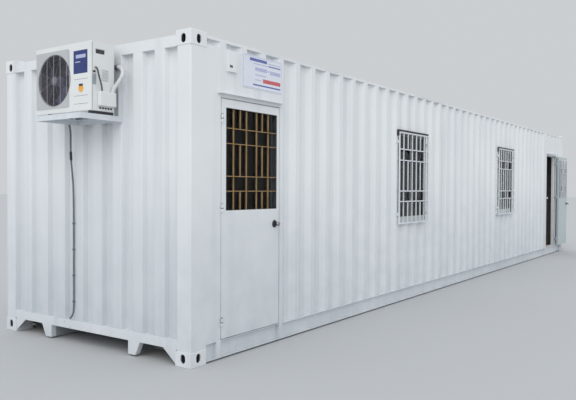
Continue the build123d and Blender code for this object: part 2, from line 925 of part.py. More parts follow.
# Window sashes: frames with a middle bar and a deep bottom rail, near the outer face of the wall
sash_y = (-side_face + sash_setback, -side_face + sash_setback + sash_depth)
window_pane_z = (window_clear_z[0] + sash_bottom_rail, window_clear_z[1] - sash_width)
window_panes = [
    pane
    for centre, clear in zip(window_centres, window_clears)
    for pane in (
        (clear[0] + sash_width, centre - sash_width / 2),
        (centre + sash_width / 2, clear[1] - sash_width),
    )
]
with BuildPart() as window_sashes:
    for clear in window_clears:
        block(clear, sash_y, window_clear_z)
    for pane in window_panes:
        block(pane, sash_y, window_pane_z, mode=Mode.SUBTRACT)
window_sashes.part.label = "window_sashes"
export_step(window_sashes.part, "parts/window_sashes.step")

# Window glass: two panes in each window
glass_y = (sum(sash_y) / 2 - window_glass_thickness / 2, sum(sash_y) / 2 + window_glass_thickness / 2)
with BuildPart() as window_glass:
    for pane in window_panes:
        block(pane, glass_y, window_pane_z)
window_glass.part.label = "window_glass"
export_step(window_glass.part, "parts/window_glass.step")

# Grille frames: square bars stood off the wall on four lugs, each with a tab beside the window
grille_back = side_face + grille_standoff
grille_front = grille_back + grille_bar
with BuildPart() as grille_frames:
    for cut in window_cuts:
        block(cut, (-grille_back, -grille_front), window_cut_z)
        block(
            (cut[0] + grille_bar, cut[1] - grille_bar),
            (-grille_back, -grille_front),
            (window_cut_z[0] + grille_bar, window_cut_z[1] - grille_bar),
            mode=Mode.SUBTRACT,
        )
        for edge, outward in ((cut[0], -1), (cut[1], 1)):
            for lug_z in (window_cut_z[0] + grille_lug_inset, window_cut_z[1] - grille_lug_inset):
                lug_span = (lug_z - grille_lug_height / 2, lug_z + grille_lug_height / 2)
                block((edge, edge - outward * grille_bar), (-side_face, -grille_back), lug_span)
                block(
                    (edge, edge + outward * grille_lug_reach),
                    (-side_face, -side_face - grille_lug_plate),
                    lug_span,
                )
grille_frames.part.label = "grille_frames"
export_step(grille_frames.part, "parts/grille_frames.step")

# Sign board: a plain plate on the flat sheet over the near door
sign_top = cabin_height - sign_drop
with BuildPart() as sign_board:
    block(
        (-half_length + sign_start, -half_length + sign_start + sign_width),
        (-side_face, -side_face - sign_thickness),
        (sign_top - sign_height, sign_top),
    )
sign_board.part.label = "sign_board"
export_step(sign_board.part, "parts/sign_board.step")

# Air vent: a thin cover with a slot near its foot, open at the back
vent_x = (-half_length + vent_start, -half_length + vent_start + vent_width)
vent_slot_start = vent_x[0] + vent_slot_inset
vent_bottom = cabin_height - vent_drop - vent_height
vent_slot_z = vent_bottom + vent_height / 5
with BuildPart() as air_vent:
    block(vent_x, (-side_face, -side_face - vent_depth), (vent_bottom, vent_bottom + vent_height))
    block(
        (vent_x[0] + vent_wall, vent_x[1] - vent_wall),
        (-side_face, -side_face - vent_depth + vent_wall),
        (vent_bottom + vent_wall, vent_bottom + vent_height - vent_wall),
        mode=Mode.SUBTRACT,
    )
    block(
        (vent_slot_start, vent_slot_start + vent_slot_width),
        (-side_face - vent_depth + vent_wall, -side_face - vent_depth),
        (vent_slot_z, vent_slot_z + vent_slot_height),
        mode=Mode.SUBTRACT,
    )
air_vent.part.label = "air_vent"
export_step(air_vent.part, "parts/air_vent.step")

# Condenser case: a housing with a round fan well in its front, and the fan's motor inside the well
condenser_back = -half_length - condenser_wall_gap
condenser_front = condenser_back - condenser_depth
shelf_top = cabin_height - shelf_drop
condenser_bottom = shelf_top + condenser_foot_height
condenser_top = condenser_bottom + condenser_height
condenser_right = condenser_centre_y - condenser_width / 2
condenser_left = condenser_centre_y + condenser_width / 2
fan_y = condenser_left - fan_centre_inset
fan_z = condenser_bottom + fan_centre_height
well_back = condenser_front + fan_bore_depth
hub_front = condenser_front + fan_setback
hub_back = hub_front + fan_hub_length
shelf_left = shelf_start_y + shelf_width
foot_starts = (
    shelf_start_y + (shelf_angle - condenser_foot_width) / 2,
    shelf_left - (shelf_angle + condenser_foot_width) / 2,
)
with BuildPart() as condenser_case:
    block(
        (condenser_front, condenser_back),
        (condenser_right, condenser_left),
        (condenser_bottom, condenser_top),
    )
    fillet(condenser_case.edges().filter_by(Axis.Z), radius=condenser_edge_radius)
    with BuildSketch(Plane.YZ.offset(condenser_front)):
        with Locations((fan_y, fan_z)):
            Circle(fan_bore_radius)
    extrude(amount=fan_bore_depth, mode=Mode.SUBTRACT)
    with BuildSketch(Plane.YZ.offset(hub_back + motor_gap)):
        with Locations((fan_y, fan_z)):
            Circle(motor_radius)
    extrude(amount=well_back - hub_back - motor_gap)
    with BuildSketch(Plane.YZ.offset(hub_front + motor_gap)):
        with Locations((fan_y, fan_z)):
            Circle(shaft_radius)
    extrude(amount=hub_back - hub_front)
    for foot_start in foot_starts:
        block(
            (condenser_front, condenser_back),
            (foot_start, foot_start + condenser_foot_width),
            (shelf_top, condenser_bottom),
        )
condenser_case.part.label = "condenser_case"
export_step(condenser_case.part, "parts/condenser_case.step")

# Condenser fan: tilted blades around a hub that is bored from behind for the motor shaft
blade_middle = (hub_front + hub_back) / 2
blade_length = fan_radius - fan_hub_radius / 2
with BuildPart() as condenser_fan:
    with BuildSketch(Plane.YZ.offset(hub_front)):
        with Locations((fan_y, fan_z)):
            Circle(fan_hub_radius)
    extrude(amount=fan_hub_length)
    for number in range(fan_blades):
        turn = radians(360 / fan_blades * number)
        tilt = radians(fan_blade_tilt)
        spoke = Vector(0, cos(turn), sin(turn))
        blade_normal = Vector(cos(tilt), -sin(tilt) * sin(turn), sin(tilt) * cos(turn))
        root = Vector(blade_middle, fan_y, fan_z) + spoke * (fan_hub_radius / 2)
        with BuildSketch(Plane(root, x_dir=blade_normal, z_dir=spoke)):
            Rectangle(fan_blade_thickness, fan_blade_width)
        extrude(amount=blade_length)
    with BuildSketch(Plane.YZ.offset(hub_front + motor_gap / 2)):
        with Locations((fan_y, fan_z)):
            Circle(shaft_radius + shaft_clearance)
    extrude(amount=fan_hub_length, mode=Mode.SUBTRACT)
condenser_fan.part.label = "condenser_fan"
export_step(condenser_fan.part, "parts/condenser_fan.step")

# Fan guard: rings and spokes of wire over the mouth of the fan well
ring_step = (guard_radius - guard_hub_radius) / guard_rings
with BuildPart() as fan_guard:
    with BuildSketch(Plane.YZ.offset(condenser_front)):
        with Locations((fan_y, fan_z)):
            for number in range(guard_rings):
                ring_radius = guard_radius - number * ring_step
                Circle(ring_radius)
                Circle(ring_radius - guard_wire, mode=Mode.SUBTRACT)
            Circle(guard_hub_radius)
            with PolarLocations(guard_radius / 2, guard_spokes):
                Rectangle(guard_radius - guard_wire, guard_wire)
    extrude(amount=-guard_wire)
fan_guard.part.label = "fan_guard"
export_step(fan_guard.part, "parts/fan_guard.step")

# Valve cover: a box on the right side of the condenser
cover_x = (condenser_back - valve_cover_setback - valve_cover_length, condenser_back - valve_cover_setback)
cover_bottom = condenser_bottom + valve_cover_bottom
cover_top = cover_bottom + valve_cover_height
with BuildPart() as valve_cover:
    block(
        cover_x,
        (condenser_right, condenser_right - valve_cover_reach),
        (cover_bottom, cover_top),
    )
valve_cover.part.label = "valve_cover"
export_step(valve_cover.part, "parts/valve_cover.step")

# Condenser shelf: two arms of angle steel with a cross bar at each end, on two legs against the wall
shelf_front = -half_length - shelf_reach
shelf_bottom = shelf_top - shelf_angle
with BuildPart() as condenser_shelf:
    for edge, inward in ((shelf_start_y, 1), (shelf_left, -1)):
        block(
            (-end_face, shelf_front),
            (edge, edge + inward * shelf_angle),
            (shelf_top - shelf_plate, shelf_top),
        )
        block(
            (-end_face, shelf_front),
            (edge, edge + inward * shelf_plate),
            (shelf_bottom, shelf_top),
        )
        block(
            (-end_face, -end_face - shelf_plate),
            (edge, edge + inward * shelf_leg_width),
            (shelf_bottom, shelf_bottom + shelf_leg_height),
        )
        block(
            (-end_face, -end_face - shelf_leg_width),
            (edge, edge + inward * shelf_plate),
            (shelf_bottom, shelf_bottom + shelf_leg_height),
        )
    for edge, inward in ((shelf_front, 1), (-end_face, -1)):
        block(
            (edge, edge + inward * shelf_angle),
            (shelf_start_y, shelf_left),
            (shelf_top - shelf_plate, shelf_top),
        )
        block(
            (edge, edge + inward * shelf_plate),
            (shelf_start_y, shelf_left),
            (shelf_bottom, shelf_top),
        )
condenser_shelf.part.label = "condenser_shelf"
export_step(condenser_shelf.part, "parts/condenser_shelf.step")


def easy_radii(points):
    """Arc radius at each corner of a route, as large as its two runs allow."""
    radii = []
    for before, corner, after in zip(points, points[1:], points[2:]):
        arriving = Vector(*corner) - Vector(*before)
        leaving = Vector(*after) - Vector(*corner)
        half_turn = radians(arriving.get_angle(leaving)) / 2
        shorter = min(arriving.length, leaving.length)
        radii.append(0.45 * shorter * cos(half_turn) / sin(half_turn))
    return radii


def make_tube(points, radius):
    """Round tube along straight runs that are joined by tangent arcs."""
    with BuildPart() as tube:
        with BuildLine() as route:
            FilletPolyline(*points, radius=easy_radii(points))
        with BuildSketch(Plane(origin=route.line @ 0, z_dir=route.line % 0)):
            Circle(radius)
        sweep()
    return tube.part


def off_end_wall(route):
    """Points of a route given as: out from the end sheet's outer face, across the cabin, and up."""
    return [(-end_face - out, across, up) for out, across, up in route]


# Condenser pipes: a lagged pipe from the valve cover over to the wall, and a cable on the housing
pipe_start_y = condenser_right - valve_cover_reach / 2
cable_start_y = condenser_right - valve_cover_reach * 3 / 4
pipe_route = (
    (114.0, pipe_start_y, cover_top),
    (114.0, pipe_start_y, cover_top + 30.0),
    (74.0, pipe_start_y - 36.0, cover_top + 100.0),
    (44.0, pipe_start_y - 46.0, cover_top + 168.0),
    (32.0, pipe_start_y, cover_top + pipe_rise),
    (32.0, pipe_entry_y, cover_top + pipe_rise),
    (0.0, pipe_entry_y, cover_top + pipe_rise),
)
cable_route = (
    (272.0, condenser_right, cover_top + 186.0),
    (272.0, condenser_right - 20.0, cover_top + 186.0),
    (264.0, cable_start_y, cover_top + 122.0),
    (232.0, cable_start_y, cover_top + 36.0),
    (232.0, cable_start_y, cover_top),
)
lagged_pipe = make_tube(off_end_wall(pipe_route), pipe_radius)
cable = make_tube(off_end_wall(cable_route), cable_radius)
with BuildPart() as condenser_pipes:
    add(lagged_pipe)
    add(cable)
condenser_pipes.part.label = "condenser_pipes"
export_step(condenser_pipes.part, "parts/condenser_pipes.step")

# Drain hose: from under the condenser down the end wall, along the edge of a corrugation
hose_bore = hose_radius + hose_clearance
hose_out = hose_clip_plate + hose_bore
hose_y = -post_side + end_lip + hose_trough * end_outer_pitch - hose_edge_inset
hose_route = (
    (94.0, 140.0, condenser_bottom),
    (94.0, 140.0, condenser_bottom - 34.0),
    (58.0, 154.0, condenser_bottom - 118.0),
    (40.0, 180.0, condenser_bottom - 230.0),
    (22.0, 202.0, condenser_bottom - 330.0),
    (17.0, 198.0, condenser_bottom - 420.0),
    (hose_out, hose_y + 10.0, condenser_bottom - 550.0),
    (hose_out, hose_y, condenser_bottom - 700.0),
    (hose_out, hose_y, sill_top + 120.0),
    (hose_out, hose_y + 8.0, sill_top + 55.0),
    (hose_out, hose_y + 52.0, sill_top + 14.0),
)
drain_hose = make_tube(off_end_wall(hose_route), hose_radius)
drain_hose.label = "drain_hose"
export_step(drain_hose, "parts/drain_hose.step")

# Hose clips: saddles on the end sheet that the hose runs through
clip_half_width = hose_bore + hose_clip_plate
with BuildPart() as hose_clips:
    for clip_bottom in hose_clip_places:
        block(
            (-end_face, -end_face - hose_out - clip_half_width),
            (hose_y - clip_half_width, hose_y + clip_half_width),
            (clip_bottom, clip_bottom + hose_clip_height),
        )
        with BuildSketch(Plane.XY.offset(clip_bottom)):
            with Locations((-end_face - hose_out, hose_y)):
                Circle(hose_bore)
        extrude(amount=hose_clip_height, mode=Mode.SUBTRACT)
hose_clips.part.label = "hose_clips"
export_step(hose_clips.part, "parts/hose_clips.step")
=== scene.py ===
import json
import math
import bmesh
import bpy
from mathutils import Matrix, Vector


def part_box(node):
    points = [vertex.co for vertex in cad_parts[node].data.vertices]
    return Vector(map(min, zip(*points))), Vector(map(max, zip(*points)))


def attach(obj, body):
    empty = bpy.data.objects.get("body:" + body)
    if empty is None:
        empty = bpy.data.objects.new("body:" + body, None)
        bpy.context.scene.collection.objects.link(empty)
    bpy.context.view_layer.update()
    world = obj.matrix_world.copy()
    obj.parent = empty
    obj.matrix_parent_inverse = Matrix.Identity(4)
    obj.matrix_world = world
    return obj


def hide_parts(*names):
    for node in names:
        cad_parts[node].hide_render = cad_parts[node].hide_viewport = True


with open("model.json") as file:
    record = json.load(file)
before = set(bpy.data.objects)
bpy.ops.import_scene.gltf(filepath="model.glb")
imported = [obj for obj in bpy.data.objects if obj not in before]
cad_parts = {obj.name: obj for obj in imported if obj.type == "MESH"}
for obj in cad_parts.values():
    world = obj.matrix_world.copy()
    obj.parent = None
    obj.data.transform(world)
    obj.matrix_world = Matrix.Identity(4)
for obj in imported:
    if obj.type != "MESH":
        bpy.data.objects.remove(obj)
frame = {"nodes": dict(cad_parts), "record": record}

scene = bpy.context.scene
nodes = frame["nodes"]
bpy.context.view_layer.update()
print("frame loaded,", len(nodes), "nodes")


# mesh helpers used by several pieces

def addBlock(bm, low, high):
    # upright block between two corners
    low, high = Vector(low), Vector(high)
    place = Matrix.Translation((low + high) / 2) @ Matrix.Diagonal((*(high - low), 1))
    return bmesh.ops.create_cube(bm, size=1, matrix=place)["verts"]


def addRod(bm, start, end, radius, segments=12, tip=None):
    # round bar between two points, tip is the radius at its end
    start, end = Vector(start), Vector(end)
    line = end - start
    place = Matrix.Translation((start + end) / 2) @ line.to_track_quat("Z", "Y").to_matrix().to_4x4()
    made = bmesh.ops.create_cone(bm, cap_ends=True, segments=segments, radius1=radius,
                                 radius2=radius if tip is None else tip, depth=line.length, matrix=place)
    return made["verts"]


def addRing(bm, centre, axis, radius, wire, segments=48, around=8):
    # closed ring of round wire
    centre, axis = Vector(centre), Vector(axis).normalized()
    side = axis.orthogonal().normalized()
    turn = Matrix((side, axis, side.cross(axis))).transposed().to_4x4()
    place = Matrix.Translation(centre + side * radius) @ turn
    made = bmesh.ops.create_circle(bm, segments=around, radius=wire, matrix=place)
    edges = list({edge for vert in made["verts"] for edge in vert.link_edges})
    bmesh.ops.spin(bm, geom=made["verts"] + edges, cent=centre, axis=axis, angle=math.tau,
                   steps=segments, use_merge=True, use_normal_flip=False)


def addTurned(bm, centre, axis, profile, steps=40):
    # turned shape: profile is a list of (along the axis, radius)
    centre, axis = Vector(centre), Vector(axis).normalized()
    side = axis.orthogonal().normalized()
    verts = [bm.verts.new(centre + axis * along + side * radius) for along, radius in profile]
    edges = [bm.edges.new(pair) for pair in zip(verts, verts[1:])]
    bmesh.ops.spin(bm, geom=verts + edges, cent=centre, axis=axis, angle=math.tau,
                   steps=steps, use_merge=True)
    bmesh.ops.remove_doubles(bm, verts=bm.verts, dist=1e-6)


def addPlate(bm, low, high, corner, axis):
    # flat plate with round corners, axis is the index of its thin direction
    verts = addBlock(bm, low, high)
    edges = {edge for vert in verts for edge in vert.link_edges}
    thin = [edge for edge in edges if abs((edge.verts[1].co - edge.verts[0].co)[axis]) > 0.9 * edge.calc_length()]
    easeEdges(bm, thin, corner, 4)


def addFrame(bm, low, high, width):
    # four strips inside an upright rectangle, as deep as from low to high
    addBlock(bm, low, (low[0] + width, high[1], high[2]))
    addBlock(bm, (high[0] - width, low[1], low[2]), high)
    addBlock(bm, (low[0] + width, low[1], low[2]), (high[0] - width, high[1], low[2] + width))
    addBlock(bm, (low[0] + width, low[1], high[2] - width), (high[0] - width, high[1], high[2]))


def easeEdges(bm, edges, width, segments=2):
    bmesh.ops.bevel(bm, geom=list(edges), offset=width, offset_type="OFFSET", segments=segments,
                    profile=0.5, affect="EDGES", clamp_overlap=True, material=-1)


def upright(edge):
    line = edge.verts[1].co - edge.verts[0].co
    return abs(line.z) > 0.999 * line.length


def finishPiece(bm, name, material, body="cabin", sharp=35, even=False):
    # turn a bmesh into a finished piece riding on its body
    bmesh.ops.recalc_face_normals(bm, faces=bm.faces)
    mesh = bpy.data.meshes.new(name)
    bm.to_mesh(mesh)
    bm.free()
    piece = bpy.data.objects.new(name, mesh)
    scene.collection.objects.link(piece)
    mesh.materials.append(material)
    mesh.shade_smooth()
    mesh.set_sharp_from_angle(angle=math.radians(sharp))
    if even:
        flatness = piece.modifiers.new("evenShading", "WEIGHTED_NORMAL")
        flatness.keep_sharp = True
    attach(piece, body)
    return piece


def copyNode(name):
    # merged copy of a CAD node, its flat faces made whole again
    bm = bmesh.new()
    bm.from_mesh(nodes[name].data)
    bmesh.ops.remove_doubles(bm, verts=bm.verts, dist=2e-5)
    bmesh.ops.dissolve_limit(bm, angle_limit=math.radians(1), verts=bm.verts, edges=bm.edges,
                             use_dissolve_boundaries=False, delimit=set())
    return bm


# camera, light and floor

view = {
    "place": (-9.745, -4.670, 1.380),
    "lens": 41.0,
    "sensorWidth": 36,
    "farthest": 400,
    "yaw": 55.03,      # from +Y towards +X
    "pitch": -1.0,
    "roll": 0.26,
}
yaw, pitch, roll = (math.radians(view[key]) for key in ("yaw", "pitch", "roll"))
forward = Vector((math.sin(yaw) * math.cos(pitch), math.cos(yaw) * math.cos(pitch), math.sin(pitch)))
level = Vector((math.cos(yaw), -math.sin(yaw), 0))
above = level.cross(forward)
right = level * math.cos(roll) + above * math.sin(roll)
up = above * math.cos(roll) - level * math.sin(roll)
camera = bpy.data.objects.new("camera", bpy.data.cameras.new("camera"))
camera.data.lens = view["lens"]
camera.data.sensor_width = view["sensorWidth"]
camera.data.clip_end = view["farthest"]
camera.matrix_world = Matrix.Translation(view["place"]) @ Matrix((right, up, -forward)).transposed().to_4x4()
scene.collection.objects.link(camera)
scene.camera = camera
scene.view_settings.view_transform = "Standard"

studio = {
    "sky": (0.93, 0.965, 1.0),      # lights the cabin
    "skyStrength": 0.95,
    "backdrop": (0.60, 0.62, 0.64),      # what the camera and the glass see in place of the sky
    "floor": (0.47, 0.48, 0.49),
    "floorRoughness": 0.9,
    "keyFrom": (-1.0, -0.55, 0.95),
    "keyStrength": 1.10,
    "keySoftness": 55,      # degrees
    "floorSize": 240,
}
world = bpy.data.worlds.new("studio")
scene.world = world
world.use_nodes = True
tree = world.node_tree
light = tree.nodes["Background"]
light.inputs["Color"].default_value = (*studio["sky"], 1)
light.inputs["Strength"].default_value = studio["skyStrength"]
seen = tree.nodes.new("ShaderNodeBackground")
seen.inputs["Color"].default_value = (*studio["backdrop"], 1)
seen.inputs["Strength"].default_value = 1
path = tree.nodes.new("ShaderNodeLightPath")
anyRay = path.outputs["Is Camera Ray"]
for kind in ("Is Glossy Ray", "Is Transmission Ray"):
    either = tree.nodes.new("ShaderNodeMath")
    either.operation = "MAXIMUM"
    tree.links.new(anyRay, either.inputs[0])
    tree.links.new(path.outputs[kind], either.inputs[1])
    anyRay = either.outputs[0]
choose = tree.nodes.new("ShaderNodeMixShader")
tree.links.new(anyRay, choose.inputs[0])
tree.links.new(light.outputs[0], choose.inputs[1])
tree.links.new(seen.outputs[0], choose.inputs[2])
tree.links.new(choose.outputs[0], tree.nodes["World Output"].inputs["Surface"])

key = bpy.data.objects.new("keyLight", bpy.data.lights.new("keyLight", "SUN"))
key.data.energy = studio["keyStrength"]
key.data.angle = math.radians(studio["keySoftness"])
key.rotation_euler = Vector(studio["keyFrom"]).to_track_quat("Z", "Y").to_euler()
scene.collection.objects.link(key)

floorMesh = bpy.data.meshes.new("floor")
bm = bmesh.new()
bmesh.ops.create_grid(bm, x_segments=1, y_segments=1, size=studio["floorSize"] / 2)
bm.to_mesh(floorMesh)
bm.free()
floor = bpy.data.objects.new("floor", floorMesh)
scene.collection.objects.link(floor)
floorPaint = bpy.data.materials.new("floorPaint")
floorPaint.use_nodes = True
floorShader = floorPaint.node_tree.nodes["Principled BSDF"]
floorShader.inputs["Base Color"].default_value = (*studio["floor"], 1)
floorShader.inputs["Roughness"].default_value = studio["floorRoughness"]
floorMesh.materials.append(floorPaint)
print("camera, light and floor placed")


# materials

def noiseFrom(tree, coords, scale, detail=4.0, stretch=(1, 1, 1), shift=(0, 0, 0)):
    mapping = tree.nodes.new("ShaderNodeMapping")
    mapping.inputs["Scale"].default_value = stretch
    mapping.inputs["Location"].default_value = shift
    noise = tree.nodes.new("ShaderNodeTexNoise")
    noise.inputs["Scale"].default_value = scale
    noise.inputs["Detail"].default_value = detail
    tree.links.new(coords, mapping.inputs["Vector"])
    tree.links.new(mapping.outputs["Vector"], noise.inputs["Vector"])
    return noise.outputs["Fac"]


def spread(tree, source, lowIn, highIn, lowOut=0.0, highOut=1.0):
    # map a range of the source to a range of values, clamped
    step = tree.nodes.new("ShaderNodeMapRange")
    for socket, value in zip(step.inputs[1:5], (lowIn, highIn, lowOut, highOut)):
        socket.default_value = value
    tree.links.new(source, step.inputs[0])
    return step.outputs[0]


def times(tree, one, other):
    node = tree.nodes.new("ShaderNodeMath")
    node.operation = "MULTIPLY"
    for socket, value in zip(node.inputs, (one, other)):
        if isinstance(value, (int, float)):
            socket.default_value = value
        else:
            tree.links.new(value, socket)
    return node.outputs[0]


def mixed(tree, amount, one, other):
    # mix of two colours, either may be a socket
    node = tree.nodes.new("ShaderNodeMix")
    node.data_type = "RGBA"
    tree.links.new(amount, node.inputs[0])
    for socket, value in ((node.inputs[6], one), (node.inputs[7], other)):
        if isinstance(value, tuple):
            socket.default_value = (*value, 1)
        else:
            tree.links.new(value, socket)
    return node.outputs[2]


def startMaterial(name):
    mat = bpy.data.materials.new(name)
    mat.use_nodes = True
    tree = mat.node_tree
    coords = tree.nodes.new("ShaderNodeTexCoord").outputs["Object"]
    return mat, tree, tree.nodes["Principled BSDF"], coords


def addBump(tree, shader, heights):
    # heights: (socket, metres) pairs, stacked
    last = None
    for height, metres in heights:
        bump = tree.nodes.new("ShaderNodeBump")
        bump.inputs["Strength"].default_value = 1
        bump.inputs["Distance"].default_value = metres
        tree.links.new(height, bump.inputs["Height"])
        if last:
            tree.links.new(last, bump.inputs["Normal"])
        last = bump.outputs["Normal"]
    tree.links.new(last, shader.inputs["Normal"])


def insidePocket(tree, coords, mirror, middle, half, edge=0.0002):
    # 1 inside a box that repeats on both sides of the mirror point along each axis, else 0
    place = coords
    for operation, value in (("SUBTRACT", mirror), ("ABSOLUTE", None), ("SUBTRACT", middle),
                             ("ABSOLUTE", None), ("SUBTRACT", half)):
        node = tree.nodes.new("ShaderNodeVectorMath")
        node.operation = operation
        tree.links.new(place, node.inputs[0])
        if value:
            node.inputs[1].default_value = value
        place = node.outputs["Vector"]
    split = tree.nodes.new("ShaderNodeSeparateXYZ")
    tree.links.new(place, split.inputs[0])
    inside = 1
    for axis in "XYZ":
        inside = times(tree, spread(tree, split.outputs[axis], -edge, edge, 1, 0), inside)
    return inside


def paintedSteel(name, look):
    # coat of paint with drift, run-off streaks, darkening low down that is partly splash dust and partly painted
    # shade, and a few rust freckles
    # pocket: the box that insidePocket takes round the hollow castings' insides, which are painted near-black there as
    # painted shade
    mat, tree, shader, coords = startMaterial(name)
    drift = spread(tree, noiseFrom(tree, coords, look["driftScale"], 3), 0.35, 0.65)
    colour = mixed(tree, drift, look["paint"], look["drift"])
    streak = spread(tree, noiseFrom(tree, coords, 1.0, 5, look["streakStretch"]), 0.52, 0.72, 0, look["streaks"])
    colour = mixed(tree, streak, colour, look["grime"])
    split = tree.nodes.new("ShaderNodeSeparateXYZ")
    tree.links.new(coords, split.inputs[0])
    # darker towards the foot: splash dust, and painted shade for the dimmer light low on the walls
    low = spread(tree, split.outputs["Z"], 0.0, look["splashTop"], 1, 0)
    patchy = spread(tree, noiseFrom(tree, coords, 5, 6, shift=(3, 1, 0)), 0.3, 0.75, look["patchLow"], 1)
    colour = mixed(tree, times(tree, times(tree, low, patchy), look["splash"]), colour, look["grime"])
    freckle = spread(tree, noiseFrom(tree, coords, look["freckleScale"], 3, shift=(1, 7, 2)),
                     0.70, 0.76, 0, look["rust"])
    nearFoot = spread(tree, split.outputs["Z"], look["rustTop"] * 0.6, look["rustTop"], 1, look["rustAbove"])
    colour = mixed(tree, times(tree, freckle, nearFoot), colour, look["rustPaint"])
    # painted shade: the hollow castings' insides are painted near-black
    if "pocket" in look:
        colour = mixed(tree, insidePocket(tree, coords, *look["pocket"]), colour, look["pocketPaint"])
    tree.links.new(colour, shader.inputs["Base Color"])
    gloss = noiseFrom(tree, coords, 2.3, 4, shift=(0, 5, 0))
    tree.links.new(spread(tree, gloss, 0.3, 0.7, *look["roughness"]), shader.inputs["Roughness"])
    shader.inputs["Specular IOR Level"].default_value = look["specular"]
    addBump(tree, shader, [
        (noiseFrom(tree, coords, look["waveScale"], 2), look["wave"]),
        (noiseFrom(tree, coords, look["peelScale"], 2), look["peel"]),
    ])
    return mat


def plainStuff(name, look):
    # two-tone grain with its own roughness and bump, for plastic, metal, rubber and board
    mat, tree, shader, coords = startMaterial(name)
    grain = noiseFrom(tree, coords, look["scale"], 5, look.get("stretch", (1, 1, 1)))
    tree.links.new(mixed(tree, spread(tree, grain, 0.3, 0.7), look["one"], look["other"]),
                   shader.inputs["Base Color"])
    tree.links.new(spread(tree, grain, 0.3, 0.7, *look["roughness"]), shader.inputs["Roughness"])
    shader.inputs["Metallic"].default_value = look.get("metallic", 0.0)
    shader.inputs["Specular IOR Level"].default_value = look.get("specular", 0.5)
    relief = noiseFrom(tree, coords, look["bumpScale"], 3, look.get("stretch", (1, 1, 1)))
    addBump(tree, shader, [(relief, look["bump"])])
    return mat


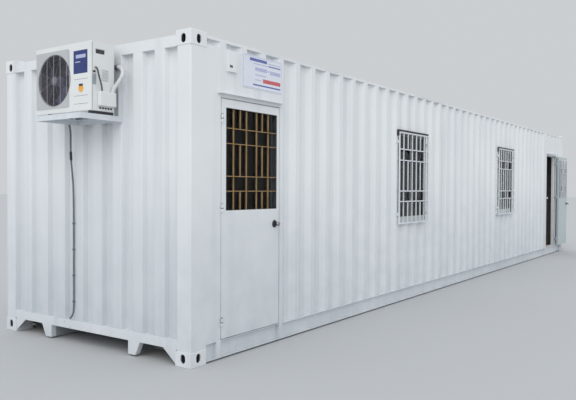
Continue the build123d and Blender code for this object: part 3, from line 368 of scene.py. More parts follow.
steelPaint = {
    "paint": (0.790, 0.805, 0.815), "drift": (0.745, 0.765, 0.780), "driftScale": 0.9,
    "grime": (0.33, 0.38, 0.42), "streaks": 0.16, "streakStretch": (7, 7, 0.35),
    "splash": 0.52, "splashTop": 1.7, "patchLow": 0.5,
    "freckleScale": 38, "rust": 0.7, "rustTop": 0.30, "rustAbove": 0.04, "rustPaint": (0.20, 0.10, 0.05),
    "roughness": (0.34, 0.52), "specular": 0.45,
    "waveScale": 2.2, "wave": 0.006, "peelScale": 160, "peel": 0.00015,
}
materials = {
    "cabinPaint": paintedSteel("cabinPaint", steelPaint),
    # the end sheets are darkened more low down: painted shade at the foot of the end wall as well as dust
    "endSheetPaint": paintedSteel("endSheetPaint", {**steelPaint, "splash": 0.66, "splashTop": 1.6, "patchLow": 0.75}),
    "flatSheetPaint": paintedSteel("flatSheetPaint", {**steelPaint, "waveScale": 1.6, "wave": 0.010}),
    "doorPaint": paintedSteel("doorPaint", {
        **steelPaint, "paint": (0.770, 0.790, 0.800), "streaks": 0.08, "splash": 0.55,
        "roughness": (0.28, 0.42), "rustAbove": 0.0, "waveScale": 3.0, "wave": 0.004}),
    "castingPaint": paintedSteel("castingPaint", {
        **steelPaint, "streaks": 0.25, "splash": 0.4, "rustAbove": 0.25, "freckleScale": 55,
        # the castings' hollow insides are painted near-black: painted shade
        "pocket": ((0, 0, 1.2955), (6.008, 1.139, 1.2292), (0.0785, 0.0705, 0.0400)),
        "pocketPaint": (0.030, 0.031, 0.034),
        "waveScale": 18, "wave": 0.0025, "peel": 0.0005, "roughness": (0.45, 0.65)}),
    "farDoorPaint": paintedSteel("farDoorPaint", {
        **steelPaint, "paint": (0.49, 0.55, 0.555), "drift": (0.44, 0.505, 0.515), "streaks": 0.2, "splash": 0.3,
        "roughness": (0.3, 0.45), "rustAbove": 0.0}),
    "railPaint": paintedSteel("railPaint", {
        **steelPaint, "paint": (0.75, 0.77, 0.785), "drift": (0.68, 0.70, 0.72), "splash": 0.5,
        "splashTop": 0.4, "rust": 0.8, "waveScale": 6, "wave": 0.003}),
    "underPaint": paintedSteel("underPaint", {
        **steelPaint, "paint": (0.30, 0.31, 0.32), "drift": (0.22, 0.225, 0.23), "splash": 0.5,
        "rust": 1.0, "rustAbove": 1.0, "freckleScale": 14, "roughness": (0.6, 0.8)}),
    "roofPaint": paintedSteel("roofPaint", {
        **steelPaint, "streaks": 0.35, "streakStretch": (1.2, 0.5, 1), "rustAbove": 0.35, "freckleScale": 9}),
    "deckPly": plainStuff("deckPly", {
        "one": (0.25, 0.145, 0.075), "other": (0.36, 0.23, 0.125), "scale": 3, "stretch": (1, 12, 6),
        "roughness": (0.55, 0.75), "bumpScale": 9, "bump": 0.0012}),
    # dark warm grey stands for the shade inside the cabin: painted shade on the lining boards
    "liningBoard": plainStuff("liningBoard", {
        "one": (0.25, 0.235, 0.215), "other": (0.32, 0.30, 0.275), "scale": 2.2, "stretch": (1, 1, 0.15),
        "roughness": (0.55, 0.7), "bumpScale": 30, "bump": 0.0004}),
    "doorBarPaint": plainStuff("doorBarPaint", {
        "one": (0.30, 0.175, 0.06), "other": (0.40, 0.265, 0.125), "scale": 14,
        "roughness": (0.4, 0.6), "bumpScale": 90, "bump": 0.0002}),
    "grillePaint": plainStuff("grillePaint", {
        "one": (0.72, 0.75, 0.78), "other": (0.64, 0.67, 0.70), "scale": 9,
        "roughness": (0.35, 0.5), "bumpScale": 110, "bump": 0.0002}),
    "caseEnamel": plainStuff("caseEnamel", {
        "one": (0.78, 0.79, 0.785), "other": (0.72, 0.735, 0.73), "scale": 3.5,
        "roughness": (0.36, 0.5), "bumpScale": 220, "bump": 0.00008}),
    "casePanel": plainStuff("casePanel", {
        "one": (0.50, 0.52, 0.525), "other": (0.45, 0.47, 0.48), "scale": 5,
        "roughness": (0.4, 0.55), "bumpScale": 200, "bump": 0.0001}),
    "darkPlastic": plainStuff("darkPlastic", {
        "one": (0.035, 0.034, 0.042), "other": (0.060, 0.055, 0.070), "scale": 22,
        "roughness": (0.4, 0.6), "bumpScale": 240, "bump": 0.00015}),
    "fanPlastic": plainStuff("fanPlastic", {
        "one": (0.105, 0.105, 0.175), "other": (0.155, 0.150, 0.235), "scale": 16,
        "roughness": (0.3, 0.5), "bumpScale": 200, "bump": 0.0001}),
    "ringGrey": plainStuff("ringGrey", {
        "one": (0.150, 0.140, 0.165), "other": (0.210, 0.200, 0.225), "scale": 26,
        "roughness": (0.35, 0.5), "bumpScale": 200, "bump": 0.0001}),
    "plateGrey": plainStuff("plateGrey", {
        "one": (0.36, 0.40, 0.43), "other": (0.30, 0.34, 0.37), "scale": 30,
        "roughness": (0.4, 0.55), "bumpScale": 200, "bump": 0.0001}),
    "paleWire": plainStuff("paleWire", {
        "one": (0.50, 0.51, 0.56), "other": (0.40, 0.41, 0.46), "scale": 30,
        "roughness": (0.3, 0.45), "bumpScale": 200, "bump": 0.0001}),
    "satinMetal": plainStuff("satinMetal", {
        "one": (0.30, 0.30, 0.31), "other": (0.42, 0.42, 0.43), "scale": 60,
        "roughness": (0.18, 0.32), "metallic": 1.0, "bumpScale": 300, "bump": 0.00003}),
    "darkMetal": plainStuff("darkMetal", {
        "one": (0.05, 0.05, 0.055), "other": (0.09, 0.09, 0.095), "scale": 60,
        "roughness": (0.22, 0.38), "metallic": 1.0, "bumpScale": 300, "bump": 0.00003}),
    "lagging": plainStuff("lagging", {
        "one": (0.70, 0.715, 0.72), "other": (0.56, 0.575, 0.59), "scale": 26, "stretch": (1, 1, 2.2),
        "roughness": (0.5, 0.7), "bumpScale": 60, "bump": 0.0012}),
    "rubber": plainStuff("rubber", {
        "one": (0.020, 0.020, 0.024), "other": (0.040, 0.040, 0.046), "scale": 45,
        "roughness": (0.5, 0.7), "bumpScale": 160, "bump": 0.0003}),
    "cableGrey": plainStuff("cableGrey", {
        "one": (0.060, 0.062, 0.066), "other": (0.090, 0.092, 0.098), "scale": 40,
        "roughness": (0.45, 0.6), "bumpScale": 160, "bump": 0.0002}),
    "greyHose": plainStuff("greyHose", {
        "one": (0.115, 0.12, 0.14), "other": (0.17, 0.175, 0.20), "scale": 30, "stretch": (1, 1, 0.4),
        "roughness": (0.45, 0.6), "bumpScale": 150, "bump": 0.0003}),
    "gasket": plainStuff("gasket", {
        "one": (0.045, 0.046, 0.050), "other": (0.075, 0.075, 0.080), "scale": 30,
        "roughness": (0.6, 0.8), "bumpScale": 120, "bump": 0.0002}),
    "sealPale": plainStuff("sealPale", {
        "one": (0.50, 0.52, 0.54), "other": (0.42, 0.44, 0.46), "scale": 24,
        "roughness": (0.55, 0.7), "bumpScale": 120, "bump": 0.0002}),
    "boardFace": plainStuff("boardFace", {
        "one": (0.77, 0.79, 0.86), "other": (0.71, 0.735, 0.81), "scale": 6,
        "roughness": (0.25, 0.35), "bumpScale": 60, "bump": 0.0002}),
    "printBlue": plainStuff("printBlue", {
        "one": (0.10, 0.13, 0.36), "other": (0.15, 0.19, 0.44), "scale": 70,
        "roughness": (0.35, 0.5), "bumpScale": 200, "bump": 0.00005}),
    "printPale": plainStuff("printPale", {
        "one": (0.42, 0.45, 0.66), "other": (0.50, 0.53, 0.72), "scale": 70,
        "roughness": (0.35, 0.5), "bumpScale": 200, "bump": 0.00005}),
    "printRed": plainStuff("printRed", {
        "one": (0.55, 0.08, 0.10), "other": (0.64, 0.16, 0.18), "scale": 70,
        "roughness": (0.35, 0.5), "bumpScale": 200, "bump": 0.00005}),
    "patchBlue": plainStuff("patchBlue", {
        "one": (0.017, 0.030, 0.150), "other": (0.026, 0.050, 0.205), "scale": 18,
        "roughness": (0.25, 0.4), "bumpScale": 160, "bump": 0.00005}),
    "patchOrange": plainStuff("patchOrange", {
        "one": (0.83, 0.36, 0.03), "other": (0.90, 0.47, 0.07), "scale": 30,
        "roughness": (0.3, 0.45), "bumpScale": 160, "bump": 0.00005}),
}


def paneGlass(name, look):
    # tinted pane with a faint smear
    mat, tree, shader, coords = startMaterial(name)
    shader.inputs["Base Color"].default_value = (*look["tint"], 1)
    shader.inputs["Transmission Weight"].default_value = 1
    shader.inputs["IOR"].default_value = look["ior"]
    smear = noiseFrom(tree, coords, look["scale"], 4)
    tree.links.new(spread(tree, smear, 0.35, 0.75, *look["roughness"]), shader.inputs["Roughness"])
    return mat


def sashFinish(name, look):
    # pale rail at the foot of each sash, darker metal above it
    mat, tree, shader, coords = startMaterial(name)
    grain = spread(tree, noiseFrom(tree, coords, look["scale"], 4, (1, 1, 0.1)), 0.3, 0.7)
    split = tree.nodes.new("ShaderNodeSeparateXYZ")
    tree.links.new(coords, split.inputs[0])
    step = spread(tree, split.outputs["Z"], look["railTop"] - 0.001, look["railTop"])
    pale = mixed(tree, grain, look["pale"], look["paleOther"])
    dark = mixed(tree, grain, look["dark"], look["darkOther"])
    tree.links.new(mixed(tree, step, pale, dark), shader.inputs["Base Color"])
    tree.links.new(spread(tree, grain, 0, 1, *look["roughness"]), shader.inputs["Roughness"])
    addBump(tree, shader, [(noiseFrom(tree, coords, look["bumpScale"], 3), look["bump"])])
    return mat


materials["sashMetal"] = sashFinish("sashMetal", {
    "scale": 40, "railTop": 1.0415, "pale": (0.56, 0.60, 0.59), "paleOther": (0.47, 0.51, 0.50),
    "dark": (0.20, 0.215, 0.225), "darkOther": (0.26, 0.275, 0.285),
    "roughness": (0.35, 0.5), "bumpScale": 120, "bump": 0.00005})
materials["paneGlass"] = paneGlass("paneGlass", {
    "tint": (0.50, 0.53, 0.56), "ior": 1.18, "scale": 6, "roughness": (0.0, 0.06)})

nodeFinish = {
    "cabinPaint": ["end_headers", "air_vent", "door_drips", "window_frames"],
    "castingPaint": ["near_lower_castings", "far_lower_castings", "near_upper_castings", "far_upper_castings"],
    "railPaint": ["bottom_side_rails", "sill_gussets", "tunnel_feet", "rail_stiffeners", "end_sills"],
    "underPaint": ["gooseneck_tunnel", "floor_beams"],
    "roofPaint": ["roof_sheet", "top_side_rails"],
    "flatSheetPaint": ["front_skin_ends", "front_skin_heads"],
    "doorPaint": ["door_frames", "door_hinge_pins"],
    "deckPly": ["floor_deck"],
    "liningBoard": ["end_linings", "back_lining", "front_lining_middle", "front_lining_ends",
                    "front_lining_heads", "ceiling_panel", "ceiling_ends"],
    "sashMetal": ["window_sashes"],
    "paneGlass": ["window_glass", "near_door_glass", "far_door_glass"],
    "grillePaint": ["grille_frames", "condenser_shelf"],
    "boardFace": ["sign_board"],
    "greyHose": ["hose_clips"],
}
for finish, names in nodeFinish.items():
    for name in names:
        for holder in nodes[name].material_slots:
            holder.material = materials[finish]
print("materials made and set on the plain nodes")


# pressed sheets, posts and leaves with their bends and edges rounded

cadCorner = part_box("far_lower_castings")[1] - Vector((0.02, 0.02, 0))
bendLeast, cornerLeast, longLeast = math.radians(15), math.radians(80), 0.08


def easedNode(name, newName, finish, width, segments, pick, body="cabin"):
    # a node with the picked edges rounded, put in the node's place
    bm = copyNode(name)
    easeEdges(bm, [edge for edge in bm.edges if len(edge.link_faces) == 2 and pick(edge)], width, segments)
    piece = finishPiece(bm, newName, materials[finish], body, sharp=40, even=True)
    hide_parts(name)
    return piece


def convexCorner(edge):
    return edge.is_convex and edge.calc_face_angle(0) > cornerLeast


def pressedBend(edge):
    return upright(edge) and bendLeast < edge.calc_face_angle(0) < cornerLeast


def outerCorner(edge):
    # the one corner of each post that both walls' faces meet in
    place = edge.verts[0].co
    return (upright(edge) and convexCorner(edge)
            and abs(place.x) > cadCorner.x and abs(place.y) > cadCorner.y)


def longConvex(edge):
    return convexCorner(edge) and edge.calc_length() > longLeast


easedNode("end_skins", "endSheets", "endSheetPaint", 0.011, 4, pressedBend)
easedNode("back_skin", "backSheet", "cabinPaint", 0.013, 3, pressedBend)
easedNode("front_skin_middle", "frontSheet", "cabinPaint", 0.013, 3, pressedBend)
easedNode("corner_posts", "cornerPosts", "cabinPaint", 0.012, 4, outerCorner)
easedNode("near_door_leaf", "nearLeaf", "doorPaint", 0.003, 2, longConvex, "near_door")
easedNode("far_door_leaf", "farLeaf", "farDoorPaint", 0.003, 2, longConvex, "far_door")
print("sheets, posts and leaves eased")


# bars, seals and hardware of the doors and windows

def addBars(bm, low, high, look):
    # rails right across, uprights at their shares of the width, the short ones left out of the narrow bands
    half = look["bar"] / 2
    rails = [low[2] + rise for rise in look["rails"]]
    for rail in rails:
        addBlock(bm, (low[0], low[1], rail - half), (high[0], high[1], rail + half))
    for number, share in enumerate(look["uprights"], 1):
        x = low[0] + share * (high[0] - low[0])
        spans = [(low[2], high[2])]
        if number in look["short"]:
            spans = [(low[2], rails[0]), (rails[1], rails[2]), (rails[3], high[2])]
        for foot, head in spans:
            addBlock(bm, (x - half, low[1], foot), (x + half, high[1], head))
    easeEdges(bm, bm.edges, look["ease"], 2)


def splitNode(name, axis=0):
    # boxes of a node's separate copies along an axis, from the gap between them
    low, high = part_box(name)
    middle = (low[axis] + high[axis]) / 2
    points = [vert.co for vert in nodes[name].data.vertices]
    halves = ([p for p in points if p[axis] < middle], [p for p in points if p[axis] > middle])
    return [tuple(Vector([extreme(p[i] for p in half) for i in range(3)]) for extreme in (min, max))
            for half in halves]


windowGrille = {
    "bar": 0.014, "ease": 0.0015,
    "rails": (0.274, 0.401, 0.774, 0.909),      # up from the foot of the frame
    "uprights": [number / 7 for number in range(1, 7)], "short": (2, 5),
    "lug": 0.028, "frameDepth": 0.016, "inset": 0.001, "wallFace": -1.2125,
    "stripHeight": 0.026, "stripGap": 0.002, "stripReach": 0.030, "stripTail": 0.075, "stripOver": 0.012,
    "stripEase": 0.004, "stripPaints": ("rubber", "cableGrey"),
    "reveal": 0.020, "seal": 0.003, "sealDepth": 0.020,
}
for number, (low, high) in enumerate(splitNode("grille_frames"), 1):
    low.x, high.x = low.x + windowGrille["lug"], high.x - windowGrille["lug"]
    inset = windowGrille["inset"]
    bm = bmesh.new()
    addBars(bm, (low.x, low.y + inset, low.z),
            (high.x, low.y + windowGrille["frameDepth"] - inset, high.z), windowGrille)
    finishPiece(bm, f"windowBars{number}", materials["grillePaint"])
    # the strip over the head, its short tail on the near side, and the dark seal round the reveal
    bm = bmesh.new()
    over, back = windowGrille["stripOver"], windowGrille["wallFace"]
    reach = back - windowGrille["stripReach"]
    foot, top = high.z + windowGrille["stripGap"], high.z + windowGrille["stripHeight"]
    addBlock(bm, (low.x - over, reach, foot), (high.x + over, back, top))
    addBlock(bm, (low.x - over, reach, top - windowGrille["stripTail"]), (low.x - over / 4, back, foot))
    easeEdges(bm, bm.edges, windowGrille["stripEase"], 3)
    reveal, thick, depth = windowGrille["reveal"], windowGrille["seal"], windowGrille["sealDepth"]
    sideLow, sideHigh, head = low.x + reveal, high.x - reveal, high.z - reveal
    for left, rightSide in ((sideLow, sideLow + thick), (sideHigh - thick, sideHigh)):
        addBlock(bm, (left, back, low.z + reveal), (rightSide, back + depth, head))
    addBlock(bm, (sideLow + thick, back, head - thick), (sideHigh - thick, back + depth, head))
    finishPiece(bm, f"windowHeadStrip{number}", materials[windowGrille["stripPaints"][number - 1]])

doorWindow = {
    "bar": 0.0066, "ease": 0.001,
    "rails": (0.157, 0.279, 0.546, 0.671),
    "uprights": (0.149, 0.273, 0.393, 0.591, 0.705, 0.827), "short": (2, 5),
    "fromGlass": (0.008, 0.021), "sealWidth": 0.004, "sealOver": 0.0005,
}
# the far leaf stands open with its inner face out, and its bars are on that face, over the window's edge
doorBars = {
    "near_door": {"paint": "doorBarPaint", "over": 0.0, "seal": "gasket", "sealReach": 0.024},
    "far_door": {"paint": "grillePaint", "over": 0.012, "seal": "sealPale", "sealReach": 0.0078},
}
for door, look in doorBars.items():
    low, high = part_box(door + "_glass")
    outer, inner = (low.y - reach for reach in reversed(doorWindow["fromGlass"]))
    over = look["over"]
    bm = bmesh.new()
    addBars(bm, (low.x - over, outer, low.z - over), (high.x + over, inner, high.z + over), doorWindow)
    finishPiece(bm, door.replace("_d", "D") + "Bars", materials[look["paint"]], door)
    over = doorWindow["sealOver"]
    bm = bmesh.new()
    addFrame(bm, (low.x - over, low.y - look["sealReach"], low.z - over),
             (high.x + over, low.y, high.z + over), doorWindow["sealWidth"])
    easeEdges(bm, bm.edges, doorWindow["ease"], 1)
    finishPiece(bm, door.replace("_d", "D") + "GlassSeal", materials[look["seal"]], door)
print("bars and seals set in the windows and doors")

knobLook = {
    "rose": ((0, 0), (0, 0.034), (0.003, 0.034), (0.0085, 0.028), (0.012, 0.018), (0.012, 0)),
    "knob": ((0.010, 0), (0.010, 0.0085), (0.024, 0.0085), (0.029, 0.014), (0.035, 0.0195), (0.043, 0.0212),
             (0.050, 0.0190), (0.0545, 0.0125), (0.0558, 0.006), (0.0558, 0)),
    "reach": 0.060,
}
for door in ("near_door", "far_door"):
    low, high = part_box(door + "_knobs")
    middle = (low + high) / 2
    for part, paint in (("rose", "darkMetal"), ("knob", "satinMetal")):
        bm = bmesh.new()
        for face, outward in ((low.y + knobLook["reach"], -1), (high.y - knobLook["reach"], 1)):
            addTurned(bm, (middle.x, face, middle.z), (0, outward, 0), knobLook[part], 32)
        name = door.replace("_d", "D") + part.capitalize() + "s"
        piece = finishPiece(bm, name, materials[paint], door, sharp=50)
        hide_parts(door + "_knobs")

hingeLook = {
    "heights": (0.302, 1.222, 1.943), "barrel": 0.032,
    "cap": 0.0088, "capTip": 0.7, "capGap": 0.0004, "capHeight": 0.004,
    "collar": ((-0.0052, 0.0079), (-0.0052, 0.0105), (-0.0003, 0.0105), (-0.0003, 0.0079), (-0.0052, 0.0079)),
}
doorway = {
    "width": 0.807, "pinGap": 0.004, "top": 2.110, "foot": 0.177, "layer": (-1.206, -1.180),
    "seal": 0.003, "headSeal": 0.005, "ease": 0.0008,
}
lockKeeper = {      # corners as distance from the doorway's edge, depth and height
    "plate": ((0.030, -1.2155, 1.160), (0.006, -1.2125, 1.250)), "corner": 0.005,
    "box": ((0.022, -1.245, 1.185), (0.006, -1.2150, 1.225)), "ease": 0.004,
}
for joint in frame["record"]["behaviour"]["joints"]:
    if not joint["name"].endswith("_door_hinge"):
        continue
    door = "nearDoor" if joint["name"].startswith("near") else "farDoor"
    pinX, pinY = joint["pos_m"][:2]
    bm = bmesh.new()
    for height in hingeLook["heights"]:
        addTurned(bm, (pinX, pinY, height), (0, 0, 1), hingeLook["collar"], 24)
        foot = height + hingeLook["barrel"] + hingeLook["capGap"]
        addRod(bm, (pinX, pinY, foot), (pinX, pinY, foot + hingeLook["capHeight"]), hingeLook["cap"], 20,
               hingeLook["cap"] * hingeLook["capTip"])
    finishPiece(bm, door + "HingeCollars", materials["darkMetal"], sharp=50)
    left = pinX - doorway["pinGap"] if door == "nearDoor" else pinX + doorway["pinGap"] - doorway["width"]
    rightSide = left + doorway["width"]
    back, front = doorway["layer"]
    strip, foot, top = doorway["seal"], doorway["foot"], doorway["top"]
    bm = bmesh.new()
    addBlock(bm, (left, back, foot), (left + strip, front, top))
    addBlock(bm, (rightSide - strip, back, foot), (rightSide, front, top))
    addBlock(bm, (left + strip, back, top - doorway["headSeal"]), (rightSide - strip, front, top))
    easeEdges(bm, bm.edges, doorway["ease"], 1)
    finishPiece(bm, door + "FrameSeal", materials["sealPale"])
    if door == "farDoor":
        bm = bmesh.new()
        plate, box = (((left - far, y0, z0), (left - near, y1, z1))
                      for (far, y0, z0), (near, y1, z1) in (lockKeeper["plate"], lockKeeper["box"]))
        addPlate(bm, *plate, lockKeeper["corner"], 1)
        keeper = addBlock(bm, *box)
        easeEdges(bm, {edge for vert in keeper for edge in vert.link_edges}, lockKeeper["ease"], 3)
        finishPiece(bm, "farLockKeeper", materials["casePanel"])
print("hinge collars, frame seals and keeper fitted")


# sign board: a plain printed board with bars where its text would be

signLook = {
    "edge": 0.006, "line": 0.0035, "proud": 0.0006, "sink": 0.0002, "corner": 0.003,
    "bars": (       # start, end, bottom and top as shares of the board, with the ink
        (0.17, 0.60, 0.835, 0.925, "printBlue"), (0.64, 0.96, 0.845, 0.868, "printPale"),
        (0.26, 0.62, 0.755, 0.780, "printPale"), (0.64, 0.96, 0.760, 0.795, "printBlue"),
        (0.30, 0.60, 0.560, 0.665, "printPale"), (0.62, 0.66, 0.590, 0.640, "printPale"),
        (0.68, 0.96, 0.530, 0.640, "printPale"), (0.30, 0.58, 0.420, 0.450, "printPale"),
        (0.30, 0.46, 0.270, 0.295, "printPale"), (0.50, 0.96, 0.225, 0.345, "printRed"),
        (0.25, 0.96, 0.105, 0.150, "printBlue")),
}
low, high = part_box("sign_board")
size = high - low
inkFront, inkBack, edge = low.y - signLook["proud"], low.y + signLook["sink"], signLook["edge"]
inks = {}
for startShare, endShare, bottomShare, topShare, ink in signLook["bars"]:
    bm = inks.setdefault(ink, bmesh.new())
    addPlate(bm, (low.x + startShare * size.x, inkFront, low.z + bottomShare * size.z),
             (low.x + endShare * size.x, inkBack, low.z + topShare * size.z), signLook["corner"], 1)
addFrame(inks["printPale"], (low.x + edge, inkFront, low.z + edge),
         (high.x - edge, inkBack, high.z - edge), signLook["line"])
for ink, bm in inks.items():
    finishPiece(bm, "sign" + ink[0].upper() + ink[1:], materials[ink])
print("sign printed")


# condenser unit: case, front panel, fan, guard and small fittings

condenser = {
    "feet": 0.026, "fanIn": 0.256, "fanUp": 0.271,      # the fan's middle in from the case's side and up
    "panel": (-0.160, 0.278, 2.031, 2.502), "panelThick": 0.0025, "panelHole": 0.207,
    "panelCorner": 0.012, "cornerFrom": 0.03,
    "cover": 0.0014, "coverEnd": -0.163, "coverEdge": (0.003, 0.004), "coverCorner": 0.010, "coverSink": 0.0004,
    # marks: span, corner, how far proud and how far sunk; on the side a span runs back from the front
    "patch": ((-0.391, -0.218, 2.291, 2.475), 0.006, 0.0008, 0.0002),
    "patchBars": (((-0.369, -0.248, 2.413, 2.441), 0.003, 0.0014, -0.0005),
                  ((-0.303, -0.240, 2.379, 2.387), 0.002, 0.0014, -0.0005)),
    "spot": (-0.310, 2.172, 0.031), "spotProud": 0.0010, "sink": 0.0002,
    "spotBar": ((-0.334, -0.286, 2.190, 2.208), 0.004, 0.0018, -0.0004),
    "lines": (2.246, 2.114, 2.050), "lineSpan": (-0.397, -0.222), "lineHalf": 0.001, "lineProud": 0.0006,
    "seam": (0.006, 0.0075), "seamProud": 0.0005, "seamEdge": 0.006,
    "handle": ((0.037, 0.123, 2.442, 2.475), 0.008, 0.0006, 0.0002),
    "lip": ((0.033, 0.127, 2.475, 2.480), 0.001, 0.003, 0.0005),
    "slots": (0.071, 0.208, 2.008, 2.022, 5), "slotWidth": 0.020, "slotLook": (0.004, 0.0006, 0.0002),
    "knock": ((0.011, 0.036, 2.288, 2.306), 0.006, 0.0008, 0.0002),
    "plate": ((0.009, 0.042, 2.195, 2.280), 0.003, 0.0008, 0.0002),
    "louvres": (0.098, 0.162, 2.235, 2.330, 6), "slatHeight": 0.007, "slatProud": 0.004, "slatSink": 0.0005,
    # pads: dark blocks in the gap under the case, standing for the shade in that gap (painted shade)
    "pads": ((-0.437, -0.405), (0.085, 0.117)), "padEnds": (0.006, 0.008), "padHeights": (0.0255, 0.0005),
    "padEase": 0.003,
    "boltX": -6.330, "boltIn": 0.024, "shelfUnder": 1.9605,
    "bolt": ((0.001, -0.002, 0.013, 24), (-0.001, -0.010, 0.010, 6)),      # start, end, radius and sides
}
guardLook = {
    "rings": 17, "ringStart": 0.040, "ringEnd": 0.209, "wire": 0.0013,
    "spokes": 8, "spokeStart": 0.030, "spokeBack": 0.0018, "spoke": 0.0016, "hubFront": 0.002,
    "uprights": (-0.170, -0.085, 0.0, 0.090, 0.175), "uprightFront": 0.0030, "upright": 0.0017,
}
fanLook = {
    "blades": 3, "grid": (12, 9), "root": 0.040, "tip": 0.190, "back": 0.030, "thick": 0.0035,
    "rootTurn": 0.62, "tipTurn": 0.96, "sweep": 0.55, "sweepPower": 1.6, "trimFrom": 0.3, "trim": 0.10,
    "pitch": 0.034, "rootPitch": 1.25, "pitchLoss": 0.45, "cup": 0.004,
}
rounds = {      # distance back along the fan's axis and radius
    "well": ((0.0005, 0.2056), (0.0005, 0.2044), (0.1633, 0.2044), (0.1633, 0.0608), (0.110, 0.0608),
             (0.107, 0.0548), (0.107, 0.010), (0.109, 0.010), (0.110, 0.0528), (0.1643, 0.0588),
             (0.1643, 0.2056), (0.0005, 0.2056)),
    "mouth": ((-0.0016, 0.2080), (-0.0016, 0.2105), (0.0002, 0.2145), (0.0002, 0.2062), (-0.0016, 0.2080)),
    "fanHub": ((0.001, 0), (0.001, 0.030), (0.004, 0.040), (0.012, 0.0455), (0.058, 0.0455), (0.058, 0.040),
               (0.014, 0.040), (0.012, 0.0075), (0.012, 0)),
    "guardHub": ((0, 0), (0, 0.026), (0.0015, 0.034), (0.004, 0.036), (0.0055, 0.036), (0.0055, 0)),
}
caseLow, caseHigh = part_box("condenser_case")
caseLow.z += condenser["feet"]
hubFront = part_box("condenser_fan")[0].x
fanMiddle = Vector((hubFront, caseHigh.y - condenser["fanIn"], caseLow.z + condenser["fanUp"]))
front = caseLow.x
easedNode("condenser_case", "condenserCase", "caseEnamel", 0.0025, 2, longConvex)


def addRound(bm, x, part, around):
    # one of the turned parts on the fan's axis
    addTurned(bm, (x, fanMiddle.y, fanMiddle.z), (1, 0, 0), rounds[part], around)


def frontPlate(bm, span, corner, proud, sink):
    # thin plate on the case's front
    y0, y1, z0, z1 = span
    addPlate(bm, (front - proud, y0, z0), (front + sink, y1, z1), corner, 0)


def sidePlate(bm, span, corner, proud, sink):
    # thin plate on the case's side
    x0, x1, z0, z1 = span
    addPlate(bm, (front + x0, caseLow.y - proud, z0), (front + x1, caseLow.y + sink, z1), corner, 1)


def holedPanel(name, box, hole, thick, finish):
    # upright panel facing -X with a round hole, its corners rounded
    bm = bmesh.new()
    y0, y1, z0, z1 = box
    turn = Matrix.Translation((front, fanMiddle.y, fanMiddle.z)) @ Matrix.Rotation(math.radians(90), 4, "Y")
    bmesh.ops.create_circle(bm, segments=72, radius=hole, matrix=turn)
    corners = [bm.verts.new((front, y, z)) for y, z in ((y0, z0), (y1, z0), (y1, z1), (y0, z1))]
    for one, other in zip(corners, corners[1:] + corners[:1]):
        bm.edges.new((one, other))
    bmesh.ops.triangle_fill(bm, edges=bm.edges, use_beauty=True, use_dissolve=False)
    made = bmesh.ops.extrude_face_region(bm, geom=bm.faces[:])
    moved = [item for item in made["geom"] if isinstance(item, bmesh.types.BMVert)]
    bmesh.ops.translate(bm, verts=moved, vec=(-thick, 0, 0))
    bm.edges.ensure_lookup_table()
    posts = [edge for edge in bm.edges if abs(edge.verts[0].co.x - edge.verts[1].co.x) > 0.5 * thick
             and (edge.verts[0].co.yz - fanMiddle.yz).length > hole + condenser["cornerFrom"]]
    easeEdges(bm, posts, condenser["panelCorner"], 4)
    return finishPiece(bm, name, materials[finish])


holedPanel("condenserFrontPanel", condenser["panel"], condenser["panelHole"], condenser["panelThick"],
           "casePanel")

bm = bmesh.new()
addRound(bm, front, "well", 72)
finishPiece(bm, "condenserWell", materials["darkPlastic"])
bm = bmesh.new()
addRound(bm, front - condenser["panelThick"], "mouth", 72)
finishPiece(bm, "condenserMouth", materials["ringGrey"], sharp=50)

bm = bmesh.new()
columns, rows = fanLook["grid"]
for number in range(fanLook["blades"]):
    blade = bmesh.ops.create_grid(bm, x_segments=columns, y_segments=rows, size=0.5)["verts"]
    for vert in blade:
        across, outward = vert.co.x, vert.co.y + 0.5
        radius = fanLook["root"] + outward * (fanLook["tip"] - fanLook["root"])
        spreadTurn = fanLook["rootTurn"] + (fanLook["tipTurn"] - fanLook["rootTurn"]) * outward
        angle = (math.tau * number / fanLook["blades"] + across * spreadTurn
                 + fanLook["sweep"] * outward ** fanLook["sweepPower"])
        if across > fanLook["trimFrom"]:
            radius -= (across - fanLook["trimFrom"]) * fanLook["trim"] * outward
        pitch = fanLook["pitch"] * (fanLook["rootPitch"] - fanLook["pitchLoss"] * outward)
        lean = -across * pitch + fanLook["cup"] * math.cos(across * math.pi)
        vert.co = Vector((hubFront + fanLook["back"] + lean, fanMiddle.y + radius * math.cos(angle),
                          fanMiddle.z + radius * math.sin(angle)))
bmesh.ops.recalc_face_normals(bm, faces=bm.faces)
bmesh.ops.solidify(bm, geom=bm.faces[:], thickness=fanLook["thick"])
addRound(bm, hubFront, "fanHub", 40)
fan = finishPiece(bm, "condenserFan", materials["fanPlastic"], "fan", sharp=40)
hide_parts("condenser_fan")

guardLow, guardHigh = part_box("fan_guard")
ringPlane = (guardLow.x + guardHigh.x) / 2
ringStart, ringEnd = guardLook["ringStart"], guardLook["ringEnd"]
bm = bmesh.new()
for number in range(guardLook["rings"]):
    radius = ringStart + (ringEnd - ringStart) * number / (guardLook["rings"] - 1)
    addRing(bm, (ringPlane, fanMiddle.y, fanMiddle.z), (1, 0, 0), radius, guardLook["wire"], 60, 6)
for number in range(guardLook["spokes"]):
    turn = math.tau * (number + 0.5) / guardLook["spokes"]
    aim = Vector((0, math.cos(turn), math.sin(turn)))
    centre = Vector((ringPlane + guardLook["spokeBack"], fanMiddle.y, fanMiddle.z))
    addRod(bm, centre + aim * guardLook["spokeStart"], centre + aim * ringEnd, guardLook["spoke"], 8)
addRound(bm, ringPlane - guardLook["hubFront"], "guardHub", 40)
guard = finishPiece(bm, "condenserGuard", materials["ringGrey"], sharp=50)
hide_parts("fan_guard")
bm = bmesh.new()
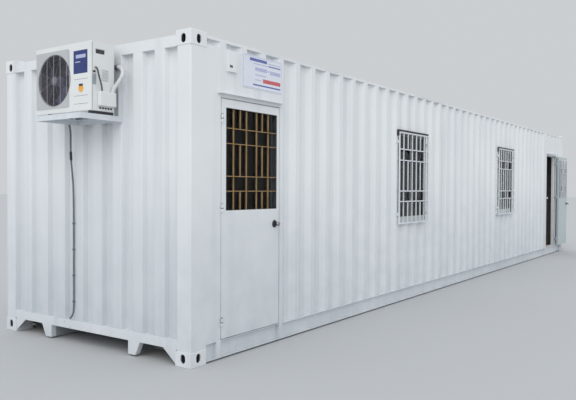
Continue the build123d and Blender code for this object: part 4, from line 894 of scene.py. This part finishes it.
for shift in guardLook["uprights"]:
    rise = math.sqrt(ringEnd ** 2 - shift ** 2)
    wireX, wireY = ringPlane - guardLook["uprightFront"], fanMiddle.y + shift
    addRod(bm, (wireX, wireY, fanMiddle.z - rise), (wireX, wireY, fanMiddle.z + rise), guardLook["upright"], 8)
finishPiece(bm, "condenserGuardUprights", materials["paleWire"], sharp=50)

bm = bmesh.new()
edgeY, edgeZ = condenser["coverEdge"]
frontPlate(bm, (caseLow.y + edgeY, condenser["coverEnd"], caseLow.z + edgeZ, caseHigh.z - edgeZ),
           condenser["coverCorner"], condenser["cover"], condenser["coverSink"])
finishPiece(bm, "condenserFrontCover", materials["caseEnamel"])
front -= condenser["cover"]
sink = condenser["sink"]
bm = bmesh.new()
frontPlate(bm, *condenser["patch"])
finishPiece(bm, "condenserBluePatch", materials["patchBlue"])
bm = bmesh.new()
for bar in condenser["patchBars"]:
    frontPlate(bm, *bar)
finishPiece(bm, "condenserPatchBars", materials["printPale"])
spotY, spotZ, spotRadius = condenser["spot"]
bm = bmesh.new()
addRod(bm, (front + sink, spotY, spotZ), (front - condenser["spotProud"], spotY, spotZ), spotRadius, 40)
finishPiece(bm, "condenserOrangeSpot", materials["patchOrange"])
bm = bmesh.new()
(y0, y1), half = condenser["lineSpan"], condenser["lineHalf"]
for height in condenser["lines"]:
    addBlock(bm, (front - condenser["lineProud"], y0, height - half), (front + sink, y1, height + half))
(x0, x1), seamEdge = condenser["seam"], condenser["seamEdge"]
addBlock(bm, (front + x0, caseLow.y - condenser["seamProud"], caseLow.z + seamEdge),
         (front + x1, caseLow.y + sink, caseHigh.z - seamEdge))
frontPlate(bm, *condenser["spotBar"])
# the handle's recess and the side slots are dark plates for the shade inside them: painted shade
sidePlate(bm, *condenser["handle"])
x0, x1, z0, z1, count = condenser["slots"]
for number in range(count):
    start = x0 + number * (x1 - x0) / count
    sidePlate(bm, (start, start + condenser["slotWidth"], z0, z1), *condenser["slotLook"])
sidePlate(bm, *condenser["knock"])
finishPiece(bm, "condenserDarkMarks", materials["darkPlastic"])
bm = bmesh.new()
sidePlate(bm, *condenser["plate"])
finishPiece(bm, "condenserSidePlate", materials["plateGrey"])
bm = bmesh.new()
x0, x1, z0, z1, slats = condenser["louvres"]
for number in range(slats):
    foot = z0 + number * (z1 - z0) / slats
    slat = addBlock(bm, (front + x0, caseLow.y - condenser["slatProud"], foot),
                    (front + x1, caseLow.y + condenser["slatSink"], foot + condenser["slatHeight"]))
    # the top outer edge is drawn back to the case
    for vert in slat:
        if vert.co.y < caseLow.y - condenser["slatProud"] / 2 and vert.co.z > foot + condenser["slatHeight"] / 2:
            vert.co.y = caseLow.y - condenser["slatSink"]
sidePlate(bm, *condenser["lip"])
finishPiece(bm, "condenserLouvres", materials["casePanel"])

easedNode("valve_cover", "valveCover", "caseEnamel", 0.006, 3, convexCorner)

# dark rubber blocks in the gap under the case, put there for the shade in that gap: painted shade
bm = bmesh.new()
(padFront, padBack), (padFoot, padTop) = condenser["padEnds"], condenser["padHeights"]
for y0, y1 in condenser["pads"]:
    shadeBlock = addBlock(bm, (front - padFront, y0, caseLow.z - padFoot), (caseHigh.x - padBack, y1, caseLow.z - padTop))
    easeEdges(bm, {edge for vert in shadeBlock for edge in vert.link_edges}, condenser["padEase"], 2)
finishPiece(bm, "condenserPads", materials["rubber"])
shelfLow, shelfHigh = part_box("condenser_shelf")
bm = bmesh.new()
boltX, under = condenser["boltX"], condenser["shelfUnder"]
for across in (shelfLow.y + condenser["boltIn"], shelfHigh.y - condenser["boltIn"]):
    for start, end, radius, sides in condenser["bolt"]:
        addRod(bm, (boltX, across, under + start), (boltX, across, under + end), radius, sides)
finishPiece(bm, "shelfBolts", materials["darkMetal"])
print("condenser dressed")


# lagged pipe, cable and drain hose, all fixed lines

def addLine(name, part, finish):
    # round line on a smooth curve through a route: out from the end wall, across and up, in metres
    route = lines[part]
    curve = bpy.data.curves.new(name, "CURVE")
    curve.dimensions = "3D"
    curve.resolution_u = lines["steps"]
    curve.bevel_depth = lines["radii"][part]
    curve.bevel_resolution = lines["roundness"]
    curve.use_fill_caps = True
    spline = curve.splines.new("NURBS")
    spline.points.add(len(route) - 1)
    for point, (out, across, rise) in zip(spline.points, route):
        point.co = (lines["wall"] - out, across, rise, 1)
    spline.order_u = 3
    spline.use_endpoint_u = True
    curve.materials.append(materials[finish])
    piece = bpy.data.objects.new(name, curve)
    scene.collection.objects.link(piece)
    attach(piece, "cabin")
    return piece


lines = {
    "wall": -6.090, "steps": 14, "roundness": 5,
    "radii": {"pipe": 0.0168, "sleeve": 0.0185, "cable": 0.0065, "hose": 0.008, "joint": 0.0115},
    "pipe": ((0.114, -0.464, 2.145), (0.114, -0.464, 2.175), (0.074, -0.500, 2.245), (0.044, -0.510, 2.313),
             (0.032, -0.464, 2.371), (0.032, -0.372, 2.371), (0.0, -0.372, 2.371)),
    "sleeve": ((0.032, -0.432, 2.371), (0.032, -0.372, 2.371), (0.0, -0.372, 2.371)),
    "cable": ((0.272, -0.444, 2.331), (0.272, -0.464, 2.331), (0.264, -0.474, 2.267), (0.232, -0.474, 2.181),
              (0.232, -0.474, 2.145)),
    "hose": ((0.094, 0.140, 1.991), (0.094, 0.140, 1.957), (0.058, 0.154, 1.873), (0.040, 0.180, 1.761),
             (0.022, 0.202, 1.661), (0.017, 0.198, 1.571), (0.0103, 0.18775, 1.441), (0.0103, 0.17775, 1.291),
             (0.0103, 0.17775, 0.421), (0.0103, 0.17775, 0.325), (0.0103, 0.18575, 0.260), (0.0103, 0.22975, 0.219)),
    "joint": ((0.0280, 0.1945, 1.695), (0.0225, 0.2005, 1.661), (0.0198, 0.2000, 1.620)),
}
pipe = addLine("laggedPipe", "pipe", "lagging")
addLine("pipeSleeve", "sleeve", "greyHose")
cable = addLine("condenserCable", "cable", "cableGrey")
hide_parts("condenser_pipes")
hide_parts("condenser_pipes")
hose = addLine("drainHose", "hose", "greyHose")
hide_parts("drain_hose")
addLine("hoseJoint", "joint", "rubber")
print("pipe, cable and hose run")
